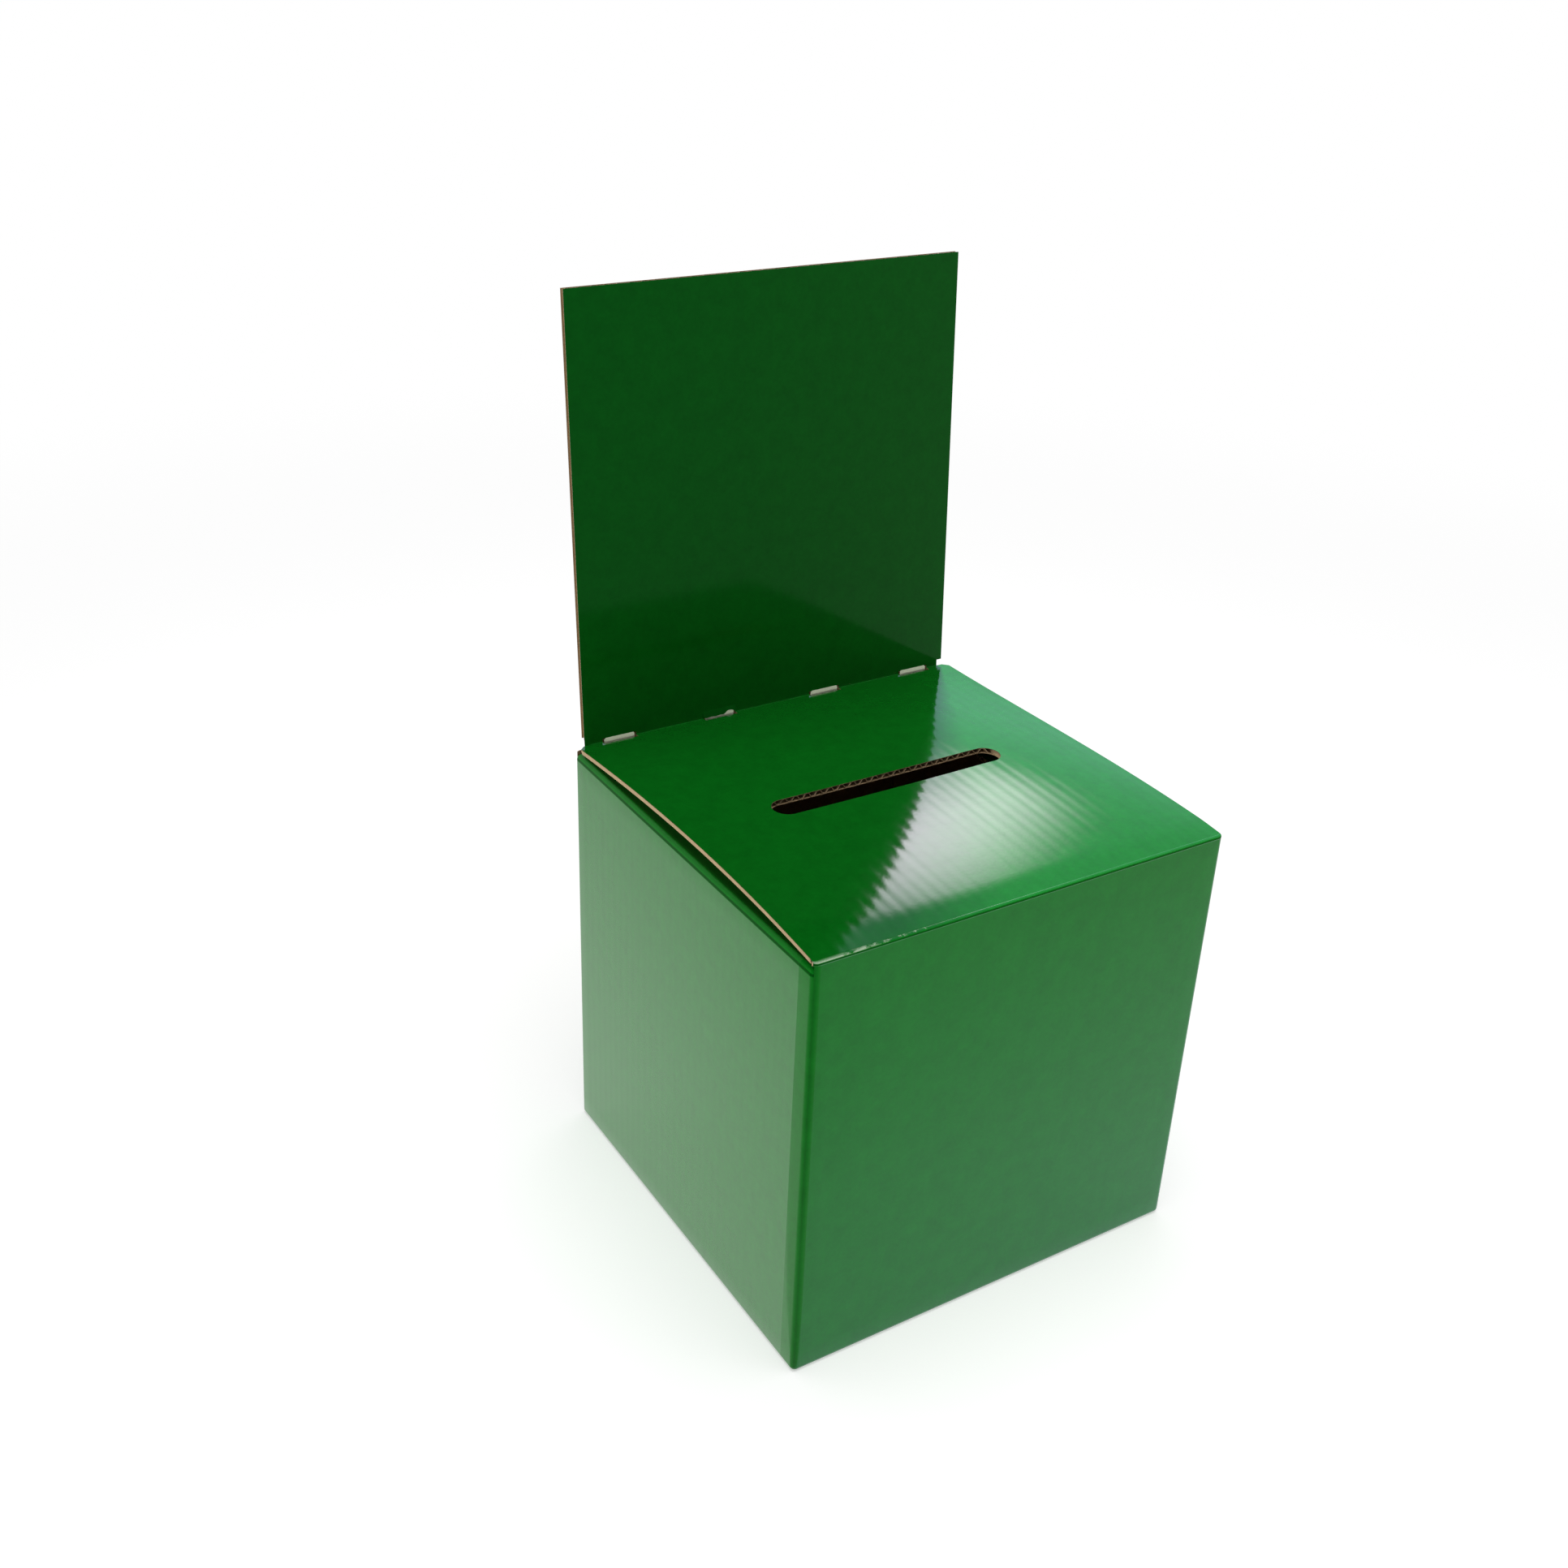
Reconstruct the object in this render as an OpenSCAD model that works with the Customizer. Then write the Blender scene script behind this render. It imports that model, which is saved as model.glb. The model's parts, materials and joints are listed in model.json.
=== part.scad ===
// Corrugated ballot box with a slotted lid and an upright header.
// Folded from one die-cut sheet of printed board: four walls, a locking bottom, two dust
// flaps, a lid creased to the front wall and a header creased to the back of the lid.
// Each panel is three plies: a printed liner outside, a fluted medium, a kraft liner inside.
// Origin at the centre of the underside, +Z up, +X to the right, the front wall at -Y.

/* [Box] */
// Width over the side walls
box_w = 229; // [205:1:320]
// Depth over the front and back walls
box_d = 224; // [205:1:320]
// Height from the floor to the top of the lid
box_h = 230; // [150:1:320]
// Outside radius of the folded corners
corner_r = 3; // [2.6:0.2:5]

/* [Board] */
// Thickness of the whole board
board_t = 3; // [2.6:0.1:4]
// Thickness of each liner
liner_t = 0.25; // [0.2:0.05:0.4]
// Thickness of the fluted medium
medium_t = 0.2; // [0.15:0.05:0.35]
// Distance from one flute to the next
flute_pitch = 6.5; // [6:0.1:9]
// Width of a flute's flat crest, where it is glued to a liner
crest_w = 1.8; // [1.2:0.1:2.2]

/* [Lid and ballot slot] */
// Distance of the lid's raw side edges from the outside of the side walls
lid_inset = 0.5; // [0.3:0.1:3]
// Chamfer on the lid's two back corners
lid_chamfer = 3; // [1:0.5:8]
// Length of the ballot slot
slot_l = 132; // [90:1:140]
// Width of the ballot slot
slot_w = 15; // [8:1:24]

/* [Header] */
// Height of the header above its crease
header_h = 224; // [120:1:224]
// Distance of the header's side edges from the outside of the side walls
header_inset = 4; // [2:0.5:10]
// Angle by which the header leans back
header_lean = 3.6; // [0:0.2:8]
// Width of the relief cut at each end of the header's crease
relief_w = 3; // [2:0.5:8]
// Height of the relief cut at each end of the header's crease
relief_h = 3.2; // [2:0.1:5]

/* [Lock tabs] */
// Width of each tab on the back wall's top edge
tab_w = 17; // [12:0.5:20]
// Height of the tabs above the top of the lid
tab_rise = 1.8; // [1.2:0.1:5]
// Chamfer on the two tip corners of a tab
tab_chamfer = 0.8; // [0.5:0.1:2]
// How far the slots for the tabs reach into the back of the lid
tab_notch = 2.5; // [0.5:0.1:4]
// Distance from the header's side edge to the middle of the outer tab
tab_end = 19.5; // [18:0.5:24]
// Distance from the outer tab to the inner tab, middle to middle
tab_pitch = 58.5; // [30:0.5:60]

/* [Dust flaps] */
// Distance of a dust flap's ends from the outside of the front and back walls
dust_end = 8; // [7:0.5:20]
// How much each end of a dust flap tapers towards its free edge
dust_taper = 6; // [0:0.5:12]
// Air gap between the dust flaps and the underside of the lid
dust_gap = 1.2; // [0.5:0.1:4]
// Distance from a dust flap's free edge to the end of the ballot slot
dust_clear = 1.2; // [1:0.1:10]

/* [Locking bottom] */
// How far the front bottom flap passes the middle of the box
front_over = 12; // [6:1:20]
// How far the back bottom flap passes the middle of the box
back_over = 6; // [2:1:12]
// Taper at the free corners of the bottom flaps
flap_taper = 26; // [5:1:36]
// Width of the locking tongue
tongue_w = 34; // [20:1:40]
// Length of the locking tongue
tongue_l = 31; // [30:1:45]
// Slope at which the tongue rises through the bottom
tongue_slope = 24; // [20:1:30]

/* [Glue tab] */
// Width of the glue tab
glue_w = 30; // [15:1:40]
// Distance of the glue tab's ends from the flaps above and below it
glue_end = 4.6; // [2:0.2:20]

/* [Clearances] */
// Gap left at a crease between two panels that turn on it
crease_gap = 0.3; // [0.2:0.05:0.6]
// Gap between a tab and each side of its slot
tab_side_gap = 1; // [0.5:0.1:2]
// Gap between a tab's tip and the top of its slot as the header turns
tab_tip_gap = 0.3; // [0.2:0.1:2]
// Gap between the sides of a folded flap and the walls beside it
flap_side_gap = 0.5; // [0.3:0.1:2]
// Gap between bottom flaps that lie on each other
layer_gap = 0.2; // [0.1:0.05:0.4]
// Gap between the tongue and the flaps that it passes
tongue_gap = 2; // [1:0.5:4]

/* [Hidden] */
$fn = 48;
// Degrees between the points of a liner's bend, a divisor of the 45 that it is split at
arc_step = 15;
// Amount by which a cutting solid passes the face that it cuts
past = 1;
// Depth of the crushed board beside a crease
fold_in = max(corner_r, board_t);
// How much narrower the inside of a flute's bend is than its outside, at each end
flute_slope = atan((board_t - 2 * liner_t - medium_t) / (flute_pitch / 2 - crest_w));
bend_in = medium_t * tan(flute_slope / 2);
// Plane of the back wall's inner face, on which the header's crease lies
crease_y = box_d / 2 - board_t;
lid_w = box_w - 2 * lid_inset;
lid_l = box_d - board_t - crease_gap;
header_w = box_w - 2 * header_inset;
// Height of the slots in the header's base, which clear the tabs as the header turns
tab_slot_h = norm([board_t, tab_rise]) + tab_tip_gap;
tab_slot_w = tab_w + 2 * tab_side_gap;
tab_x_outer = header_w / 2 - tab_end;
tab_x_inner = tab_x_outer - tab_pitch;
TAB_X = [-tab_x_outer, -tab_x_inner, tab_x_inner, tab_x_outer];
back_wall_top = box_h - board_t - crease_gap;
// Top of the folded edge on the side walls, level with the dust flaps
dust_z = box_h - board_t - dust_gap;
dust_x = box_w / 2 - fold_in - crease_gap;
dust_l = dust_x - slot_l / 2 - dust_clear;
dust_w = box_d - 2 * dust_end;
// Height of the underside of each layer of the bottom
function layer_z(n) = n * (board_t + layer_gap);
bottom_top = layer_z(2) + board_t;
inside_w = box_w - 2 * fold_in - 2 * flap_side_gap;
inside_d = box_d - 2 * fold_in - 2 * flap_side_gap;
side_flap_l = box_w / 2 - board_t - tongue_w / 2 - tongue_gap;
front_flap_l = box_d / 2 - fold_in + front_over;
back_flap_l = box_d / 2 - board_t + back_over;
// Start of the tongue, clear of the front flap's free edge
tongue_y = front_over + board_t * sin(tongue_slope) + layer_gap;
// End of the notch in the back flap, where the tongue has risen clear of it
notch_end = tongue_y + (bottom_top + layer_gap) / tan(tongue_slope) + layer_gap;

function clip(v, top) = min(max(v, 0), top);
function reversed(list) = [for (i = [len(list) - 1 : -1 : 0]) list[i]];
function flute_count(w) = round(w / flute_pitch);
// One face of the medium's wave across a panel of width w: upper is the printed side
function wave_face(w, upper) = [
    for (i = [0 : 2 * flute_count(w)], s = [-1, 1])
        let (crest = i % 2 == 0,
             half_w = crest_w / 2 - (crest == upper ? 0 : bend_in),
             depth = (crest ? liner_t : board_t - liner_t - medium_t) + (upper ? 0 : medium_t))
        [clip(i * w / (2 * flute_count(w)) + s * half_w, w), -depth]];

module green() { color([0.05, 0.36, 0.10]) children(); }
module brown() { color([0.70, 0.57, 0.40]) children(); }

// Fluted medium of a panel: the wave runs across w, the flutes run along l
module medium(w, l) {
    translate([0, l, 0])
        rotate([90, 0, 0])
            linear_extrude(height = l)
                polygon(concat(wave_face(w, true), reversed(wave_face(w, false))));
}

// One ply of a flat panel, printed face up at z = 0, with the child as its outline
module panel(ply, w, l) {
    if (ply == "print")
        green() translate([0, 0, -liner_t]) linear_extrude(height = liner_t) children();
    if (ply == "kraft")
        brown() translate([0, 0, -board_t]) linear_extrude(height = liner_t) children();
    if (ply == "flutes")
        brown() intersection() {
            translate([0, -past, 0]) medium(w, l + 2 * past);
            translate([0, 0, -board_t]) linear_extrude(height = board_t) children();
        }
}

// Points of an arc about the origin, one every arc_step degrees
function arc(r, from, to) = [
    for (i = [0 : abs(to - from) / arc_step])
        let (a = from + i * sign(to - from) * arc_step) r * [cos(a), sin(a)]];

// Printed liner bent round a crease that runs along +Y from the origin for length l.
// It starts level with z = 0 at x = 0 and turns down towards -X by the given angle.
module bent_liner(l, angle) {
    translate([0, 0, -corner_r])
        rotate([-90, 0, 0])
            linear_extrude(height = l)
                polygon(concat(arc(corner_r, 270, 270 - angle),
                    arc(corner_r - liner_t, 270 - angle, 270)));
}

// One ply of an upright wall that is w wide, seen from outside with its printed face up.
// Its bottom edge is folded under, its start is folded unless raw_start is set, and its end
// is folded. print_top and core_top are the heights of the printed liner and of the rest.
module wall(ply, w, print_top, core_top, raw_start = false) {
    if (ply == "print") green() {
        x0 = raw_start ? 0 : corner_r;
        translate([x0, corner_r, -liner_t])
            cube([w - corner_r - x0, print_top - corner_r, liner_t]);
        if (!raw_start)
            translate([corner_r, corner_r, 0]) bent_liner(print_top - corner_r, 45);
        translate([w - corner_r, corner_r, 0])
            mirror([1, 0, 0]) bent_liner(print_top - corner_r, 45);
        translate([w - corner_r, corner_r, 0])
            rotate([0, 0, 90]) bent_liner(w - corner_r - x0, 90);
    }
    c0 = raw_start ? 0 : fold_in;
    if (ply == "flutes")
        brown() translate([c0, fold_in, 0]) medium(w - fold_in - c0, core_top - fold_in);
    if (ply == "kraft")
        brown() translate([c0, fold_in, -board_t])
            cube([w - fold_in - c0, core_top - fold_in, liner_t]);
}

// The printed liner ends below the lid's, so that the lid can turn on the crease between them
module front_wall(ply) {
    translate([-box_w / 2, -box_d / 2, 0])
        rotate([90, 0, 0])
            wall(ply, box_w, box_h - liner_t - crease_gap / 2, box_h - fold_in - crease_gap / 2);
}

// The back wall's right edge is raw, because the glue tab is stuck behind it
module back_wall(ply) {
    translate([box_w / 2, box_d / 2, 0])
        rotate([90, 0, 180])
            wall(ply, box_w, back_wall_top, back_wall_top, raw_start = true);
}

module left_wall(ply) {
    translate([-box_w / 2, box_d / 2, 0]) rotate([90, 0, -90]) {
        wall(ply, box_d, dust_z - corner_r, dust_z - fold_in);
        if (ply == "print") side_top_fold(box_d);
    }
}

module right_wall(ply) {
    translate([box_w / 2, -box_d / 2, 0]) rotate([90, 0, 90]) {
        wall(ply, box_d - board_t, dust_z - corner_r, dust_z - fold_in);
        if (ply == "print") side_top_fold(box_d - board_t);
    }
}

// Folded top edge of a side wall that is w wide, level with its dust flap
module side_top_fold(w) {
    green() translate([corner_r, dust_z - corner_r, 0])
        rotate([0, 0, -90]) bent_liner(w - 2 * corner_r, 90);
}

// Four tabs that carry the back wall's board up through the slots in the header's crease
module lock_tabs(ply) {
    tab_l = box_h + tab_rise - back_wall_top;
    for (x = TAB_X)
        translate([x + tab_w / 2, box_d / 2, back_wall_top])
            rotate([90, 0, 180])
                panel(ply, tab_w, tab_l)
                    polygon([[0, 0], [tab_w, 0], [tab_w, tab_l - tab_chamfer],
                        [tab_w - tab_chamfer, tab_l], [tab_chamfer, tab_l],
                        [0, tab_l - tab_chamfer]]);
}

// Tab that continues the right wall round the back corner and is glued inside the back wall
module glue_tab(ply) {
    low = bottom_top + glue_end;
    glue_l = dust_z - board_t - glue_end - low;
    start = box_w / 2 - corner_r;
    translate([start, crease_y, low]) rotate([90, 0, 180]) {
        panel(ply, glue_w, glue_l)
            polygon([[0, 0], [glue_w, glue_w / 3], [glue_w, glue_l - glue_w / 3], [0, glue_l]]);
        if (ply == "print") green() bent_liner(glue_l, 45);
    }
}

// Outline of a bottom flap that is w wide at its crease and tapers towards its free edge
module flap_outline(w, l) {
    taper_l = l / 2;
    polygon([[0, 0], [w, 0], [w, l - taper_l], [w - flap_taper, l],
        [flap_taper, l], [0, l - taper_l]]);
}

module bottom_front_flap(ply) {
    translate([-inside_w / 2, -box_d / 2 + fold_in, 0])
        mirror([0, 0, 1])
            panel(ply, inside_w, front_flap_l) flap_outline(inside_w, front_flap_l);
}

// The back flap lies on top of the others, and the tongue comes up through its notch
module bottom_back_flap(ply) {
    notch_w = tongue_w + 2 * tongue_gap;
    translate([inside_w / 2, crease_y, layer_z(2)])
        rotate([0, 0, 180]) mirror([0, 0, 1])
            panel(ply, inside_w, back_flap_l)
                difference() {
                    flap_outline(inside_w, back_flap_l);
                    translate([(inside_w - notch_w) / 2, crease_y - notch_end])
                        square([notch_w, notch_end + back_over + past]);
                }
}

module bottom_side_flap(ply) {
    translate([-box_w / 2 + board_t, inside_d / 2, layer_z(1)])
        rotate([0, 0, -90]) mirror([0, 0, 1])
            panel(ply, inside_d, side_flap_l) flap_outline(inside_d, side_flap_l);
}

module bottom_left_flap(ply) { bottom_side_flap(ply); }
module bottom_right_flap(ply) { rotate([0, 0, 180]) bottom_side_flap(ply); }

// Tongue on the front flap: it rises between the side flaps and locks over the back flap
module lock_tongue(ply) {
    translate([-tongue_w / 2, tongue_y, 0])
        rotate([tongue_slope, 0, 0]) mirror([0, 0, 1])
            panel(ply, tongue_w, tongue_l)
                polygon([[0, 0], [tongue_w, 0], [tongue_w, tongue_l / 2],
                    [tongue_w * 3 / 4, tongue_l], [tongue_w / 4, tongue_l], [0, tongue_l / 2]]);
}

// Ballot slot with round ends, centred on the origin
module slot_outline() {
    square([slot_l - slot_w, slot_w], center = true);
    for (s = [-1, 1])
        translate([s * (slot_l - slot_w) / 2, 0]) circle(d = slot_w);
}

module lid(ply) {
    // The printed liner reaches the front crease, and the crushed board behind it doesn't
    front = ply == "print" ? 0 : fold_in;
    translate([-lid_w / 2, -box_d / 2 + crease_gap / 2, box_h])
        panel(ply, lid_w, lid_l)
            difference() {
                polygon([[0, front], [lid_w, front], [lid_w, lid_l - lid_chamfer],
                    [lid_w - lid_chamfer, lid_l], [lid_chamfer, lid_l],
                    [0, lid_l - lid_chamfer]]);
                translate([lid_w / 2, box_d / 2 - crease_gap / 2]) slot_outline();
                translate([lid_w / 2, lid_l]) tab_slots(-tab_notch, past);
            }
}

// Slots for the tabs, from y0 to y1
module tab_slots(y0, y1) {
    for (x = TAB_X)
        translate([x - tab_slot_w / 2, y0])
            square([tab_slot_w, y1 - y0]);
}

module header(ply) {
    translate([0, crease_y, box_h])
        rotate([90 - header_lean, 0, 0])
            translate([-header_w / 2, crease_gap / 2, 0])
                panel(ply, header_w, header_h)
                    difference() {
                        square([header_w, header_h]);
                        translate([header_w / 2, 0]) tab_slots(-past, tab_slot_h);
                        for (x = [-past, header_w - relief_w])
                            translate([x, -past])
                                square([relief_w + past, relief_h + past]);
                    }
}

// Dust flap on the left wall, folded in under the lid
module dust_flap(ply) {
    translate([-dust_x, dust_w / 2, dust_z])
        rotate([0, 0, -90])
            panel(ply, dust_w, dust_l)
                polygon([[0, 0], [dust_w, 0], [dust_w - dust_taper, dust_l],
                    [dust_taper, dust_l]]);
}

module left_dust_flap(ply) { dust_flap(ply); }
module right_dust_flap(ply) { rotate([0, 0, 180]) dust_flap(ply); }

front_wall("print");  // front_wall_print
front_wall("flutes");  // front_wall_flutes
front_wall("kraft");  // front_wall_kraft
back_wall("print");  // back_wall_print
back_wall("flutes");  // back_wall_flutes
back_wall("kraft");  // back_wall_kraft
left_wall("print");  // left_wall_print
left_wall("flutes");  // left_wall_flutes
left_wall("kraft");  // left_wall_kraft
right_wall("print");  // right_wall_print
right_wall("flutes");  // right_wall_flutes
right_wall("kraft");  // right_wall_kraft
lock_tabs("print");  // lock_tabs_print
lock_tabs("flutes");  // lock_tabs_flutes
lock_tabs("kraft");  // lock_tabs_kraft
glue_tab("print");  // glue_tab_print
glue_tab("flutes");  // glue_tab_flutes
glue_tab("kraft");  // glue_tab_kraft
bottom_front_flap("print");  // bottom_front_flap_print
bottom_front_flap("flutes");  // bottom_front_flap_flutes
bottom_front_flap("kraft");  // bottom_front_flap_kraft
bottom_left_flap("print");  // bottom_left_flap_print
bottom_left_flap("flutes");  // bottom_left_flap_flutes
bottom_left_flap("kraft");  // bottom_left_flap_kraft
bottom_right_flap("print");  // bottom_right_flap_print
bottom_right_flap("flutes");  // bottom_right_flap_flutes
bottom_right_flap("kraft");  // bottom_right_flap_kraft
bottom_back_flap("print");  // bottom_back_flap_print
bottom_back_flap("flutes");  // bottom_back_flap_flutes
bottom_back_flap("kraft");  // bottom_back_flap_kraft
lock_tongue("print");  // lock_tongue_print
lock_tongue("flutes");  // lock_tongue_flutes
lock_tongue("kraft");  // lock_tongue_kraft
lid("print");  // lid_print
lid("flutes");  // lid_flutes
lid("kraft");  // lid_kraft
header("print");  // header_print
header("flutes");  // header_flutes
header("kraft");  // header_kraft
left_dust_flap("print");  // left_dust_flap_print
left_dust_flap("flutes");  // left_dust_flap_flutes
left_dust_flap("kraft");  // left_dust_flap_kraft
right_dust_flap("print");  // right_dust_flap_print
right_dust_flap("flutes");  // right_dust_flap_flutes
right_dust_flap("kraft");  // right_dust_flap_kraft
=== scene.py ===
# Dresses a folded corrugated ballot box: glossy green print outside, raw kraft inside.
# Metres, +Z up, +X to the right, front wall at -Y, origin at the centre of the underside.
import json
import math

import bpy
import numpy as np
from mathutils import Matrix, Vector


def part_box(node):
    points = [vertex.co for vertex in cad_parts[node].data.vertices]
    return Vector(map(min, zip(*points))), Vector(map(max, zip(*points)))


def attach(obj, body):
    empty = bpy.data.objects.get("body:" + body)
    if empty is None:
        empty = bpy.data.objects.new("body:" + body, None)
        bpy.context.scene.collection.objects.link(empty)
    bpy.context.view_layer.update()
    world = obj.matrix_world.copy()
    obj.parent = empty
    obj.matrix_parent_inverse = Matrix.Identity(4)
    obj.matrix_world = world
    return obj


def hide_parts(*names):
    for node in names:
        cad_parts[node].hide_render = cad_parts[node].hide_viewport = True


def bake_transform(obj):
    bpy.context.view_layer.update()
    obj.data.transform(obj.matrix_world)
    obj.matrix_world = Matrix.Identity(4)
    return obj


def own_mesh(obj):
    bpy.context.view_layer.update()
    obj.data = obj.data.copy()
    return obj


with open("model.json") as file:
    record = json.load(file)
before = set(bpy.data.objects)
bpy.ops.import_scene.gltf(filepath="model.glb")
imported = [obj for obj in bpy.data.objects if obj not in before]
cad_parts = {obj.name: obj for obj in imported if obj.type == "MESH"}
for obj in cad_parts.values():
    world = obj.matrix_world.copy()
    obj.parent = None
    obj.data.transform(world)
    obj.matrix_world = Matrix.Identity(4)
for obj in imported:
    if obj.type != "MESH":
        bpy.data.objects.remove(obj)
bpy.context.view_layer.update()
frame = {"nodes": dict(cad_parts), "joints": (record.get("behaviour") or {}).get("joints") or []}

bl_info = {
    "name": "Ballot box dressing",
    "version": (1, 0, 0),
    "blender": (4, 5, 0),
    "location": "3D View > Sidebar > Ballot Box",
    "description": "Printed board, bowed lid, creases and studio for a folded ballot box",
    "category": "Object",
}

MM = 0.001
lid_low, lid_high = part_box("lid_print")
header_low, header_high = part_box("header_print")
BOX_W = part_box("right_wall_print")[1].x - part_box("left_wall_print")[0].x
BOX_H = lid_high.z
FRONT_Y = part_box("front_wall_print")[0].y
BACK_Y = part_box("back_wall_print")[1].y
BOX_D = BACK_Y - FRONT_Y
FOLD_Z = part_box("left_dust_flap_print")[1].z
BOARD_T = lid_high.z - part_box("lid_kraft")[0].z
LINER_T = lid_high.z - lid_low.z
LID_W = lid_high.x - lid_low.x
LID_L = lid_high.y - lid_low.y
_, HEADER_CREASE, LEFT_CREASE, RIGHT_CREASE = (Vector(joint["pos_m"]) for joint in frame["joints"])
# Middle of the ballot slot, along the lid from its front edge
SLOT_V = -lid_low.y


# Sizes and colours

def size_prop(name, description, default, low, high):
    """A length, given here in millimetres."""
    return bpy.props.FloatProperty(name=name, description=description, default=default * MM, min=low * MM,
                                   max=high * MM, subtype="DISTANCE", unit="LENGTH", precision=5)


def factor_prop(name, description, default, high=1):
    return bpy.props.FloatProperty(name=name, description=description, default=default, min=0, max=high,
                                   subtype="FACTOR")


def colour_prop(name, description, default):
    return bpy.props.FloatVectorProperty(name=name, description=description, default=default, size=3,
                                         min=0, max=1, subtype="COLOR")


def angle_prop(name, description, degrees):
    return bpy.props.FloatProperty(name=name, description=description, default=math.radians(degrees),
                                   subtype="ANGLE", unit="ROTATION")


def watt_prop(name, description, default):
    return bpy.props.FloatProperty(name=name, description=description, default=default, min=0, max=300,
                                   unit="POWER")


def glow_prop(name, description, default):
    return bpy.props.FloatProperty(name=name, description=description, default=default, min=0, max=30)


class BoardSettings(bpy.types.PropertyGroup):
    """Corrugated board."""
    flute_pitch: size_prop("Flute pitch", "Distance from one flute to the next", 6.5, 4, 9)
    crest_w: size_prop("Crest width", "Flat width of a flute where it is glued to a liner", 1.8, 1, 2.2)
    medium_t: size_prop("Medium", "Thickness of the fluted medium", 0.2, 0.1, 0.4)
    crushed_w: size_prop("Crushed edge", "Width of the flute that the die crushes at a raw side edge",
                         0.35, 0, 1)
    ripple: size_prop("Ripple", "How far the printed liner sinks between the flutes", 0.02, 0, 0.2)


class LidSettings(bpy.types.PropertyGroup):
    """Lid and ballot slot."""
    bow_middle: size_prop("Bow at the middle", "How far the lid bows up on its centre line", 4.5, 0, 8)
    bow_side: size_prop("Bow at the sides", "How far the lid bows up at its side edges", 6, 0, 8)
    early_bow: factor_prop("Early bow", "How much more the side edges bow in front than at the back", 0.15)
    right_drop: size_prop("Right drop", "How much less the right edge bows than the left one", 4.2, 0, 5)
    right_early: factor_prop("Right early bow", "The same as Early bow, for the right edge alone", 0.85)
    right_w: factor_prop("Right share", "Share of the width over which the right edge drops", 0.3)
    roll_l: size_prop("Roll length", "Length of the strip that rolls over to the front crease", 14, 1, 30)
    roll_drop: size_prop("Roll drop", "How far the lid drops at the front crease", 0.5, 0, 1)
    edge_lean: size_prop("Edge lean", "How far the crushed side edges lean in under the printed liner",
                         0.7, 0, 2)
    lean_w: size_prop("Lean width", "Width of the strip in which a side edge leans in", 4, 1, 10)
    tab_notch: size_prop("Tab notch", "How far the slots for the tabs reach into the lid", 2.5, 0.5, 4)
    start: size_prop("Start", "Gap between the front crease and the start of the printed liner", 1.6, 0, 2.5)
    chamfer: size_prop("Chamfer", "Chamfer on the two back corners", 3, 0, 8)
    slot_l: size_prop("Slot length", "Length of the ballot slot over its round ends", 132, 60, 200)
    slot_w: size_prop("Slot width", "Width of the ballot slot", 15, 5, 30)


class CreaseSettings(bpy.types.PropertyGroup):
    """Creases that panels turn on."""
    corner_r: size_prop("Corner radius", "Outside radius of the folded corners", 3, 1, 6)
    corner_roll: size_prop("Corner roll", "Width of the strip that slopes back to a side wall's front fold",
                           11, 1, 20)
    front_roll: size_prop("Front roll", "Width of the strip that slopes back to the front wall's left fold",
                          3.5, 1, 20)
    score: size_prop("Score", "Distance from a side wall's fold down to its score line", 3.2, 1, 8)
    score_w: size_prop("Score width", "Width of a side wall's score line", 1.6, 0.5, 4)
    crest_r: size_prop("Crest radius", "Radius of the front crease's outer edge", 0.6, 0.2, 2)
    crest_score: size_prop("Crest score", "Distance from the crest down to the front crease's score line",
                           1.5, 0.5, 3)
    crest_score_w: size_prop("Crest score width", "Width of the front crease's score line", 0.7, 0.2, 2)
    scuff_w: size_prop("Scuff width", "Half the width of the strip that is rubbed pale along the crest",
                       0.45, 0.1, 2)
    reach: size_prop("Reach", "Length of the front crease's paper on each side of the crest", 1.8, 1, 6)
    overlap: size_prop("Overlap", "How far the crease's paper covers the panels that it joins", 0.2, 0.05, 1)
    proud: size_prop("Proud", "How far a crease's paper stands off the panels that it joins",
                     0.012, 0.005, 0.3)
    fillet: size_prop("Fillet", "Radius in the valley between the lid and the header", 0.35, 0.2, 3)
    flap_gap: size_prop("Flap gap", "Width of the crease between a side wall and its dust flap", 0.3, 0.1, 1)
    flap_lap: size_prop("Flap overlap", "How far a dust flap's crease paper covers each side", 0.9, 0.2, 3)
    tab_slot_w: size_prop("Tab slot", "Width of the slots in the header's crease", 19, 10, 30)
    relief_w: size_prop("Relief", "Width of the cut at each end of the header's crease", 3, 0, 10)
    lip_top: size_prop("Lip top", "Height above the header's crease at which the lips start", 4, 1, 8)
    lip_end: size_prop("Lip end", "Height above the header's crease at which the lips end", 1.75, 0, 4)
    lip_torn: size_prop("Torn lip end", "Height at which the torn lip ends where it still hangs",
                        0.15, 0, 4)
    lip_bulge: size_prop("Lip bulge", "How far a long lip's end stands off the header", 0.3, 0, 1)
    relief_lip: size_prop("Relief lip", "How far the lip over the left relief cut hangs below the crease",
                          1.2, 0, 3)


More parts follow.
